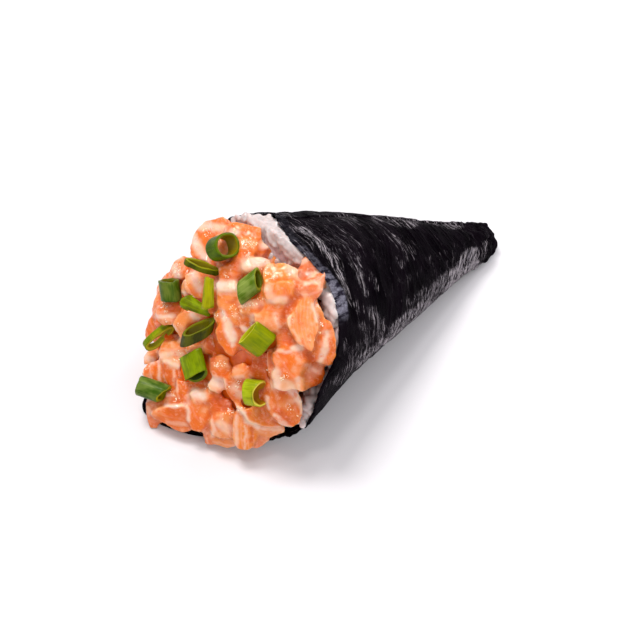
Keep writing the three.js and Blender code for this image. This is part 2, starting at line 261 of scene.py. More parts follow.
# ---- materials -------------------------------------------------------------------------------
class Graph:
    """Short names for building a node tree."""

    def __init__(self, name):
        self.mat = bpy.data.materials.new(name)
        self.mat.use_nodes = True
        self.nt = self.mat.node_tree
        self.bsdf = next(n for n in self.nt.nodes if n.type == "BSDF_PRINCIPLED")

    def put(self, sock, value):
        if isinstance(value, bpy.types.NodeSocket):
            self.nt.links.new(value, sock)
        else:
            sock.default_value = value

    def node(self, kind, ins=(), **props):
        n = self.nt.nodes.new(kind)
        for k, v in props.items():
            setattr(n, k, v)
        for k, v in dict(ins).items():
            self.put(n.inputs[k], v)
        return n

    def attr(self, name, out="Vector"):
        return self.node("ShaderNodeAttribute", attribute_name=name).outputs[out]

    def math(self, op, a, b=0.0, c=0.0, clamp=False):
        n = self.node("ShaderNodeMath", operation=op, use_clamp=clamp)
        for s, v in zip(n.inputs, (a, b, c)):
            self.put(s, v)
        return n.outputs[0]

    def vec(self, op, a, b=(0, 0, 0), out=0):
        n = self.node("ShaderNodeVectorMath", operation=op)
        self.put(n.inputs[0], a)
        self.put(n.inputs[1], b)
        return n.outputs[out]

    def split(self, v):
        return self.node("ShaderNodeSeparateXYZ", {0: v}).outputs

    def join(self, x, y, z):
        return self.node("ShaderNodeCombineXYZ", {0: x, 1: y, 2: z}).outputs[0]

    def noise(self, v, scale=1.0, detail=2.0, rough=0.5, distortion=0.0):
        n = self.node(
            "ShaderNodeTexNoise",
            {"Vector": v, "Scale": scale, "Detail": detail, "Roughness": rough, "Distortion": distortion},
        )
        return n.outputs[0]

    def step(self, x, a, b, lo=0.0, hi=1.0, smooth=True):
        n = self.node("ShaderNodeMapRange", interpolation_type="SMOOTHSTEP" if smooth else "LINEAR")
        for s, v in zip(n.inputs, (x, a, b, lo, hi)):
            self.put(s, v)
        return n.outputs[0]

    def mix(self, f, a, b, kind="MIX"):
        n = self.node("ShaderNodeMix", data_type="RGBA", blend_type=kind)
        self.put(n.inputs[0], f)
        self.put(n.inputs[6], a)
        self.put(n.inputs[7], b)
        return n.outputs[2]

    def bump(self, height, strength=0.5, distance=0.001, normal=None):
        n = self.node("ShaderNodeBump", {"Height": height, "Strength": strength, "Distance": distance})
        if normal is not None:
            self.put(n.inputs["Normal"], normal)
        return n.outputs[0]

    def where(self):
        return self.node("ShaderNodeTexCoord").outputs["Object"]

    def set(self, **kw):
        for k, v in kw.items():
            self.put(self.bsdf.inputs[k.replace("_", " ")], v)
        return self.mat


def rgb(*c):
    return tuple(float(v) for v in linear(c)) + (1.0,)


# nori: near black with a purple cast, long fibres wound round the cone, with painted grey highlights along the fibres
g = Graph("nori_skin")
sheet = g.attr("sheet")
edge = g.attr("edge", "Fac")
shine = g.attr("shine", "Fac")  # painted highlight: how much of the fibres is painted light
warp = g.noise(g.vec("MULTIPLY", sheet, (0.05, 0.06, 0.06)), 1.0, 2.0)
sx, sy, sz = g.split(sheet)
swept = g.join(g.math("ADD", sx, g.math("MULTIPLY", g.math("SUBTRACT", warp, 0.5), 10.0)), sy, sz)
fibre = g.noise(g.vec("MULTIPLY", swept, (2.8, 0.13, 0.13)), 1.0, 3.0, 0.55)
short = g.noise(g.vec("MULTIPLY", swept, (2.8, 0.5, 0.5)), 1.0, 4.0, 0.62)
fibre2 = g.noise(g.vec("MULTIPLY", swept, (0.5, 0.2, 0.2)), 1.0, 3.0, 0.6)
patch = g.noise(g.vec("MULTIPLY", swept, (0.11, 0.05, 0.05)), 1.0, 3.0, 0.6)
crumb = g.noise(sheet, 1.3, 4.0, 0.65)
broken = g.noise(g.vec("MULTIPLY", swept, (0.7, 0.45, 0.45)), 1.0, 3.0, 0.6)
dark = g.mix(g.step(patch, 0.35, 0.65), rgb(3, 1, 4), rgb(16, 10, 17))
# painted sheen: a light grey veil over the fibres where the painted highlight is strongest
painted_sheen = g.math("MULTIPLY", g.step(shine, 0.8, 1.0, 0.0, 0.5), g.step(broken, 0.44, 0.62))
dark = g.mix(painted_sheen, dark, rgb(120, 114, 122))
# small flecks, painted lighter where the painted highlight is stronger
flecks = g.step(g.math("SUBTRACT", short, g.math("SUBTRACT", 0.71, g.math("MULTIPLY", shine, 0.22))), 0.0, 0.06)
col = g.mix(flecks, dark, g.mix(g.math("MULTIPLY", shine, 1.1, clamp=True), rgb(50, 44, 52), rgb(132, 126, 134)))
# fibre streaks painted light as highlights, lighter where the painted highlight is stronger
streak = g.step(g.math("SUBTRACT", fibre, g.math("SUBTRACT", 0.69, g.math("MULTIPLY", shine, 0.25))), 0.0, 0.05)
streak = g.math("MULTIPLY", streak, g.step(broken, 0.38, 0.56, 0.1, 1.0))
col = g.mix(streak, col, g.mix(g.math("MULTIPLY", shine, 1.15, clamp=True), rgb(88, 80, 88), rgb(178, 170, 176)))
rib = g.noise(g.vec("MULTIPLY", sheet, (0.16, 0.62, 0.62)), 1.0, 3.0, 0.55)
band = g.mix(g.step(rib, 0.38, 0.56), rgb(34, 30, 42), rgb(138, 136, 152))
band = g.mix(g.step(crumb, 0.4, 0.6, 0.0, 0.45), band, rgb(44, 40, 58))
col = g.mix(edge, col, band)
height = g.math("ADD", g.math("MULTIPLY", short, 0.7), g.math("ADD", g.math("MULTIPLY", fibre2, 1.1), g.math("MULTIPLY", crumb, 0.8)))
height = g.math("ADD", height, g.math("MULTIPLY", rib, g.math("MULTIPLY", edge, 1.2)))
nori_mat = g.set(
    Base_Color=col,
    Roughness=g.step(streak, 0.0, 1.0, 0.46, 0.38),
    Normal=g.bump(height, 0.9, 0.0012),
    Specular_IOR_Level=0.006,
)

# rice: white, moist, a little see-through
g = Graph("rice_grain")
tone = g.attr("tone", "Color")
pos = g.where()
speck = g.noise(pos, 900.0, 3.0)
rice_mat = g.set(
    Base_Color=g.mix(g.step(speck, 0.3, 0.7, 0.0, 0.35), tone, rgb(214, 200, 200)),
    Roughness=0.4,
    Normal=g.bump(speck, 0.25, 0.0003),
    Subsurface_Weight=0.7,
    Subsurface_Radius=(0.0026, 0.0018, 0.0016),
    Subsurface_Scale=1.0,
    Coat_Weight=0.25,
    Coat_Roughness=0.15,
)
g = Graph("rice_core")
pos = g.where()
lump = g.noise(pos, 330.0, 3.0)
rice_core_mat = g.set(
    Base_Color=g.mix(g.step(lump, 0.35, 0.65), rgb(206, 188, 190), rgb(184, 164, 170)),
    Roughness=0.4,
    Normal=g.bump(lump, 0.8, 0.0015),
    Subsurface_Weight=0.4,
    Subsurface_Radius=(0.0016, 0.0012, 0.0011),
    Subsurface_Scale=1.0,
)

# salmon: each dice has its own colour, its own fat lines across its own axes
def salmon_material(name, core=False):
    g = Graph(name)
    pos = g.where()
    speck = g.noise(pos, 1500.0, 3.0, 0.6)
    blot = g.noise(pos, 260.0, 2.0)
    if core:
        col = g.mix(g.step(blot, 0.35, 0.65), rgb(214, 84, 4), rgb(232, 108, 24))
        height = blot
    else:
        tone = g.vec("MULTIPLY", g.attr("tone", "Color"), (0.93, 1.03, 0.98))
        cut = g.attr("grain")
        par = g.attr("fat")
        cx, cy, cz = g.split(cut)
        gap, amount, phase = g.split(par)
        wob = g.noise(g.vec("ADD", cut, g.join(g.math("MULTIPLY", phase, 37.0), 0.0, 0.0)), 0.28, 2.0)
        q = g.math("ADD", cx, g.math("MULTIPLY", g.math("SUBTRACT", wob, 0.5), g.math("MULTIPLY", gap, 0.55)))
        q = g.math("ADD", q, g.math("MULTIPLY", g.math("MULTIPLY", cy, cy), 0.02))
        q = g.math("ADD", g.math("DIVIDE", q, gap), phase)
        saw = g.math("ABSOLUTE", g.math("SUBTRACT", g.math("FRACT", q), 0.5))
        width = g.math("MINIMUM", g.math("DIVIDE", 0.62, gap), 0.24)
        line = g.math("SUBTRACT", 1.0, g.math("DIVIDE", saw, width), clamp=True)
        line = g.math("MULTIPLY", g.step(line, 0.0, 0.75), amount, clamp=True)
        fine = g.noise(g.vec("MULTIPLY", cut, (3.2, 0.35, 0.35)), 1.0, 3.0, 0.6)
        meat = g.mix(g.step(blot, 0.3, 0.7, 0.0, 0.5), tone, g.mix(1.0, tone, (1.0, 0.8, 0.5, 1.0), "MULTIPLY"))
        meat = g.mix(g.step(fine, 0.52, 0.72, 0.0, 0.2), meat, rgb(246, 180, 138))
        # pale milky spots: partly the flesh's own colour, partly painted sheen on small lumps
        milk_and_sheen = g.step(g.noise(pos, 620.0, 3.0, 0.6), 0.52, 0.7, 0.0, 0.35)
        meat = g.mix(milk_and_sheen, meat, rgb(244, 182, 152))
        # deep orange spots: painted shade of small hollows
        pit_shade = g.step(g.noise(pos, 380.0, 3.0, 0.6), 0.6, 0.72, 0.0, 0.5)
        meat = g.mix(pit_shade, meat, rgb(226, 92, 14))
        col = g.mix(line, meat, rgb(244, 192, 172))
        height = g.math("ADD", g.math("MULTIPLY", fine, 0.5), g.math("MULTIPLY", line, 0.6))
    wet = g.noise(pos, 420.0, 2.0, 0.5)
    sprinkled = g.step(g.noise(pos, 120.0, 2.0), 0.42, 0.6, 0.25, 1.0)
    wet = g.math("MULTIPLY", g.math("ADD", wet, g.math("MULTIPLY", speck, 0.12)), sprinkled)
    return g.set(
        Base_Color=col,
        Roughness=0.4,
        Normal=g.bump(g.math("ADD", height, g.math("MULTIPLY", speck, 0.5)), 0.6, 0.00045),
        Subsurface_Weight=0.6,
        Subsurface_Radius=(0.0022, 0.0013, 0.0005),
        Subsurface_Scale=1.0,
        Specular_IOR_Level=0.06,
        Coat_Weight=0.7,
        Coat_IOR=1.5,
        Coat_Roughness=0.09,
        Coat_Normal=g.bump(wet, 0.8, 0.0012),
    )


salmon_mat = salmon_material("salmon_dice")
salmon_core_mat = salmon_material("salmon_core", core=True)


def onion_material(name, outer, dark, inner, rim):
    g = Graph(name)
    leaf = g.attr("leaf")  # along, around, how far in the wall (0 outer skin, 1 inner skin)
    along, around, depth = g.split(leaf)
    vein = g.noise(g.join(g.math("MULTIPLY", around, 2.6), g.math("MULTIPLY", along, 0.12), depth), 1.0, 3.0, 0.55)
    patch = g.noise(g.join(g.math("MULTIPLY", around, 0.35), g.math("MULTIPLY", along, 0.2), depth), 1.0, 2.0)
    skin = g.mix(g.step(patch, 0.35, 0.65), outer, dark)
    skin = g.mix(g.step(vein, 0.45, 0.75, 0.0, 0.45), skin, g.mix(1.0, outer, (1.5, 1.4, 1.6, 1.0), "MULTIPLY"))
    col = g.mix(g.step(depth, 0.75, 0.98), skin, inner)
    mid = g.math("MULTIPLY", g.step(depth, 0.06, 0.35), g.step(depth, 0.94, 0.65))
    col = g.mix(mid, col, rim)
    return g.set(
        Base_Color=col,
        Roughness=0.36,
        Normal=g.bump(vein, 0.5, 0.0003),
        Subsurface_Weight=0.12,
        Subsurface_Radius=(0.0006, 0.001, 0.0002),
        Subsurface_Scale=1.0,
        Specular_IOR_Level=0.06,
        Coat_Weight=0.06,
        Coat_Roughness=0.1,
    )


def finish(ob, mat, slot, *nodes):
    ob.data.materials.clear()
    ob.data.materials.append(mat)
    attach(ob, "root")
    if nodes:
        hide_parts(*nodes)
    return ob


# ---- the cone --------------------------------------------------------------------------------
ALPHA = math.radians(16.2)
AXIS = np.array([0, -math.cos(ALPHA), math.sin(ALPHA)])
SIDE = np.array([1.0, 0, 0])
RISE = np.array([0, math.sin(ALPHA), math.cos(ALPHA)])
TIP, SHEET, LAP, LAP_AT = 15.0, 0.8, 0.45, 112.0


def cone(s, phi, inset=0.0):
    s, phi, inset = np.broadcast_arrays(np.asarray(s, float), np.asarray(phi, float), np.asarray(inset, float))
    a = np.radians(phi)
    dent = (
        0.45 * np.sin(3 * a + 0.9) * ramp(s, 20, 110)
        + 0.3 * np.sin(5 * a - 1.2 + s / 45) * ramp(s, 30, 120)
        + bell(turn(phi - 112), 38) * (1.3 * bell(s - 78, 30) - 1.6 * ramp(s, 98, 128))
        - 0.9 * bell(turn(phi + 22), 30) * bell(s - 106, 16)
        + 2.4 * (0.5 - 0.5 * np.sin(a)) * bell(s - TIP - 3, 13)
    )
    r = s * math.sin(ALPHA) + dent - inset * math.cos(ALPHA)
    t = s * math.cos(ALPHA) + inset * math.sin(ALPHA)
    p = t[..., None] * AXIS + (r * np.cos(a))[..., None] * SIDE + (r * np.sin(a))[..., None] * RISE
    p[..., 2] = settle(p[..., 2] - 1.6 * s / 137, np.maximum(inset, 0))
    low = 1 - ramp(p[..., 2], 2, 30)
    p[..., 0] += 7 * ramp(s, 98, 138) * low * np.clip(p[..., 0] / 16, -1, 1)
    return p + APEX


def rim(phi):
    down = turn(phi)
    foot = ramp(-down, 36, 56) * (1 - ramp(-down, 104, 140))
    return (
        126 - 4.5 * bell(turn(phi - 42), 24) + 1.5 * bell(turn(phi + 20), 18) + 9 * foot
        + 18 * bell(turn(phi + 96), 19) - 4 * bell(turn(phi - 170), 40) - 2.5 * bell(turn(phi - 128), 22)
    )


def sheet_end(phi):
    """Where the sheet really ends: it is cut back over the rice at the top and stands out lower down."""
    return (
        rim(phi) - 8 * bell(turn(phi - 127), 12) - 4.5 * bell(turn(phi - 108), 14)
        + 6.5 * bell(turn(phi - 1), 13) + 2.2 * bell(turn(phi + 22), 14) - 6 * bell(turn(phi + 56), 10)
        + 1.8 * bell(turn(phi - 8), 7) - 1.7 * bell(turn(phi - 62), 13) + 4.4 * bell(turn(phi + 104), 8)
    )


# Painted highlights on the fibres, and places left dark, as the front right shows them: from, to, half width (px), how
# much is painted light.
SHINE = [
    (330, 340, 420, 250, 26, 0.04), (395, 270, 440, 235, 16, 0.06), (478, 226, 492, 234, 9, 0.1), (310, 235, 380, 222, 10, 0.26),
    (337, 382, 359, 361, 5, 0.55), (352, 352, 372, 334, 5, 0.5), (359, 361, 383, 342, 6, 0.8), (383, 342, 405, 324, 8, 0.85),
    (405, 324, 427, 306, 8, 0.8), (427, 306, 450, 288, 7, 0.9), (450, 284, 470, 266, 9, 1.0), (464, 262, 474, 254, 6, 0.85),
    (480, 256, 485, 244, 4, 0.55), (433, 298, 446, 280, 6, 0.7), (411, 302, 425, 288, 5, 0.55), (378, 216, 413, 222, 6, 0.6),
    (337, 216, 353, 219, 3, 0.55), (425, 218, 458, 226, 4, 0.55), (311, 232, 345, 262, 12, 0.38), (302, 230, 320, 243, 3, 0.75),
    (320, 243, 333, 258, 3, 0.75), (333, 258, 341, 272, 3, 0.7), (341, 272, 349, 294, 4, 0.7), (359, 260, 362, 276, 4, 0.65),
    (362, 276, 366, 294, 4, 0.65), (344, 234, 355, 252, 5, 0.42), (389, 230, 411, 252, 8, 0.38), (396, 255, 401, 263, 4, 0.5),
    (371, 275, 377, 288, 4, 0.5), (346, 296, 360, 312, 6, 0.5), (372, 312, 384, 332, 7, 0.55), (360, 325, 371, 340, 5, 0.5),
    (345, 342, 352, 356, 4, 0.5), (320, 385, 334, 368, 3, 0.4), (336, 340, 334, 366, 5, 0.0), (334, 366, 320, 384, 5, 0.0),
    (320, 384, 313, 412, 4, 0.0), (430, 262, 446, 256, 6, 0.3), (402, 280, 412, 274, 5, 0.25),
]


def spiral(phi):
    return LAP * (1 - ((phi - LAP_AT) % 360) / 360)


# ---- nori ------------------------------------------------------------------------------------
def build_nori():
    cols, rows = 384, 230
    phi = np.linspace(-180, 180, cols, endpoint=False)
    a = np.radians(phi)
    ragged = 0.35 * noise(np.stack([np.cos(a) * 14, np.sin(a) * 14, a * 0], -1), 3) + 0.22 * noise(
        np.stack([np.cos(a) * 55, np.sin(a) * 55, a * 0], -1), 4
    )
    torn = np.stack([np.cos(a) * 24, np.sin(a) * 24, a * 0 + 9.0], -1)
    end = sheet_end(phi) + ragged - 2.6 * bell(turn(phi + 16), 20) * np.clip(noise(torn, 5) + 0.1, 0, 1)
    f = np.linspace(0, 1, rows)[:, None]
    s = TIP + f * (end - TIP)
    P = np.broadcast_to(phi, s.shape)
    A = np.radians(P)
    rad = np.maximum(s * math.sin(ALPHA), 3.0)
    sheet = np.stack([s, rad * np.cos(A), rad * np.sin(A)], -1)

    def relief(s, sheet):
        swept = sheet.copy()
        swept[..., 0] += 12 * noise(sheet * [0.035, 0.05, 0.05], 9)
        n1 = noise(swept * [0.28, 0.1, 0.1], 11)
        n2 = noise(swept * [0.6, 0.22, 0.22], 12)
        n3 = noise(sheet * [0.16, 0.12, 0.12], 13)
        calm = ramp(s, TIP, TIP + 12)
        h = 0.42 * (1 - np.abs(n1) * 2.2) + 0.24 * (1 - np.abs(n2) * 2.0) + 0.45 * n3
        crumple = bell(s - TIP - 4, 12) * (0.9 * noise(sheet * 0.33, 14) + 0.5 * noise(sheet * 0.8, 15))
        return (h - 0.25) * (0.35 + 0.65 * calm) * 0.55 + crumple

    h = relief(s, sheet)
    # the edge of the sheet is crinkled by short ribs where it curls
    near = ramp(s, end - 4.5, end - 1.0)
    ribs = noise(np.stack([np.cos(A) * 26, np.sin(A) * 26, s * 0.15], -1), 16)
    h = h * (1 - 0.6 * near) + near * 0.35 * ribs
    h = np.minimum(h, 0.75)
    out = cone(s, P, -spiral(P) + 0.12 - h)
    # pressed flat where it lies on the floor
    out[..., 2] = np.maximum(out[..., 2], 0.0)
    inner_f = np.concatenate([[1.0], 1 - np.cumsum(np.linspace(0.004, 0.09, 18))])
    inner_f = np.clip(inner_f, 0, 1)[:, None]
    start = TIP + 7
    s_in = start + inner_f * (end - start)
    Pi = np.broadcast_to(phi, s_in.shape)
    rad_i = s_in * math.sin(ALPHA)
    sheet_i = np.stack([s_in, rad_i * np.cos(np.radians(Pi)), rad_i * np.sin(np.radians(Pi))], -1)
    hi = relief(s_in, sheet_i) * 0.4
    inn = cone(s_in, Pi, SHEET - 0.1 - hi * 0.5)
    inn[..., 2] = np.maximum(inn[..., 2], 0.45)
    # rounded lip between the two skins
    lip = (out[-1] + inn[0]) / 2 + AXIS * 0.25
    # the closed tip: rings that shrink to a crumpled end
    tip_rings, c = [], out[0].mean(0)
    for w, push in ((0.94, -0.9), (0.8, -1.7), (0.6, -2.1), (0.38, -1.9), (0.18, -1.3)):
        ring = c + (out[0] - c) * w - AXIS * push * -1.0 * -1.0
        wob = noise(ring * 0.55, 21)[:, None] * 0.8 * unit(ring - c + 1e-6)
        tip_rings.append(ring + wob * w)
    tip_rings = tip_rings[::-1]
    for ring in tip_rings:
        ring[:, 2] = np.maximum(ring[:, 2], 0.0)
    rings = np.concatenate([np.stack(tip_rings), out, lip[None], inn])
    n_tip = len(tip_rings)
    # how much of the light crinkled edge band shows
    at = np.zeros(rings.shape[:2])
    shown = ramp(phi, 33, 42) * (1 - ramp(phi, 60, 70) * 0.55) * (1 - ramp(phi, 76, 92) * 0.75) * ramp(-phi, -150, -130)
    wide = 3.6 + 1.8 * bell(turn(phi - 42), 15) + 0.5 * noise(np.stack([A[0] * 6, A[0] * 0, A[0] * 0], -1), 17)
    at[n_tip : n_tip + rows] = ramp(s, end - wide - 0.6, end - wide + 0.6) * shown * (0.62 + 0.38 * bell(turn(phi - 40), 22))
    at[n_tip + rows] = shown
    sh = np.zeros(rings.shape)
    sh[:n_tip] = sheet[0] + (np.arange(n_tip)[:, None, None] - n_tip) * np.array([1.0, 0, 0])
    sh[n_tip : n_tip + rows] = sheet
    sh[n_tip + rows] = sheet[-1] + [0.4, 0, 0]
    sh[n_tip + rows + 1 :] = sheet_i + [200.0, 0, 0]
    # painted highlights on the fibres, and places left dark
    across, round_ = np.gradient(rings, axis=0), np.roll(rings, -1, 1) - np.roll(rings, 1, 1)
    nrm = unit(np.cross(round_, across))
    facing = (nrm * (eye - rings)).sum(-1) / np.linalg.norm(eye - rings, axis=-1)
    if facing[n_tip + rows // 2, cols * 3 // 4] < 0:  # the top of the cone looks up
        facing = -facing
    px = pixel(rings.reshape(-1, 3)).reshape(rings.shape[:2] + (2,))
    px = px + 3.0 * np.stack([noise(sh * 0.11, 22), noise(sh * 0.11, 23)], -1)
    glow = 0.24 + 0.22 * noise(sh * [0.06, 0.05, 0.05], 24)
    for x0, y0, x1, y1, w, value in SHINE:
        a0, d0 = np.array([x0, y0], float), np.array([x1 - x0, y1 - y0], float)
        t0 = np.clip(((px - a0) @ d0) / (d0 @ d0), 0, 1)
        dist = np.linalg.norm(px - a0 - t0[..., None] * d0, axis=-1)
        m = (1 - ramp(dist, w * 0.5, w * 1.5)) * ramp(facing, -0.05, 0.05)
        glow = glow * (1 - m) + value * m
    verts = rings.reshape(-1, 3)
    faces = grid_faces(len(rings), cols)
    # close both ends
    verts = np.concatenate([verts, rings[0].mean(0)[None], rings[-1].mean(0)[None]])
    n = len(rings) * cols
    j = np.arange(cols)
    k = (j + 1) % cols
    caps = np.concatenate([
        np.stack([np.full(cols, n), k, j, j], -1)[:, :3],
        np.stack([np.full(cols, n + 1), n - cols + j, n - cols + k], -1),
    ])
    tris = np.concatenate([faces[:, [0, 1, 2]], faces[:, [0, 2, 3]], caps])
    flat_sheet = np.concatenate([sh.reshape(-1, 3), sh[0].mean(0)[None], sh[-1].mean(0)[None]])
    flat_edge = np.concatenate([at.ravel(), [0, 0]])
    flat_glow = np.clip(np.concatenate([glow.ravel(), [0.2, 0.0]]), 0, 1)
    ob = make("nori_sheet", verts, tris, {"sheet": flat_sheet, "edge": flat_edge, "shine": flat_glow})
    return finish(ob, nori_mat, "nori", "nori")


nori = build_nori()

# ---- where things may lie --------------------------------------------------------------------
def mesh_tree(ob):
    me = ob.data
    co = np.empty(len(me.vertices) * 3, np.float32)
    me.vertices.foreach_get("co", co)
    return BVHTree.FromPolygons([Vector(c) for c in co.reshape(-1, 3) / MM], [tuple(q.vertices) for q in me.polygons])


salmon_tree, rice_tree, nori_tree = tree("salmon"), tree("rice"), mesh_tree(nori)


def surface_points(node, count, seed):
    """Points spread evenly over a node's skin, and its outward directions there."""
    co, tri = cad_mesh(node)
    gen = np.random.default_rng(seed)
    t = co[tri]
    cross = np.cross(t[:, 1] - t[:, 0], t[:, 2] - t[:, 0])
    area = np.linalg.norm(cross, axis=1) / 2
    pick = gen.choice(len(t), count, p=area / area.sum())
    u, v = gen.random(count), gen.random(count)
    flip = u + v > 1
    u[flip], v[flip] = 1 - u[flip], 1 - v[flip]
    p = t[pick, 0] + u[:, None] * (t[pick, 1] - t[pick, 0]) + v[:, None] * (t[pick, 2] - t[pick, 0])
    return p, unit(cross[pick])


def open_air(p, n, trees, reach=3.5):
    keep = np.ones(len(p), bool)
    for i in range(len(p)):
        start, way = Vector(p[i] + n[i] * 0.05), Vector(n[i])
        for t in trees:
            if t.ray_cast(start, way, reach)[0] is not None:
                keep[i] = False
                break
    return keep


def thinned(p, gap, near=None):
    """Indices of points that keep at least gap from each other and from the points near."""
    kept = []
    cells = {}
    gap2 = gap * gap
    if near is not None:
        for q in near:
            cells.setdefault(tuple(np.floor(q / gap).astype(int)), []).append(q)
    for i, q in enumerate(p):
        c = np.floor(q / gap).astype(int)
        ok = True
        for dx in (-1, 0, 1):
            for dy in (-1, 0, 1):
                for dz in (-1, 0, 1):
                    for o in cells.get((c[0] + dx, c[1] + dy, c[2] + dz), ()):
                        if ((o - q) ** 2).sum() < gap2:
                            ok = False
                            break
                    if not ok:
                        break
                if not ok:
                    break
            if not ok:
                break
        if ok:
            kept.append(i)
            cells.setdefault(tuple(c), []).append(q)
    return np.array(kept, int)


# ---- salmon ----------------------------------------------------------------------------------
# Middle and pale colour of each kind of cut; S and partly D are painted shade.
TONES = {
    "O": ((226, 106, 18), (242, 160, 110)),
    "P": ((236, 134, 68), (244, 180, 146)),
    "W": ((236, 164, 126), (242, 198, 180)),
    "Y": ((234, 124, 30), (240, 162, 106)),
    "K": ((224, 118, 72), (238, 162, 134)),
    # D: deep orange, partly the flesh's own colour, partly painted shade for cuts that lie low
    "D": ((204, 80, 0), (222, 114, 36)),
    # S: a darker copy of the pink cuts, painted shade for a cut that lies low
    "S": ((212, 124, 98), (232, 166, 146)),
}
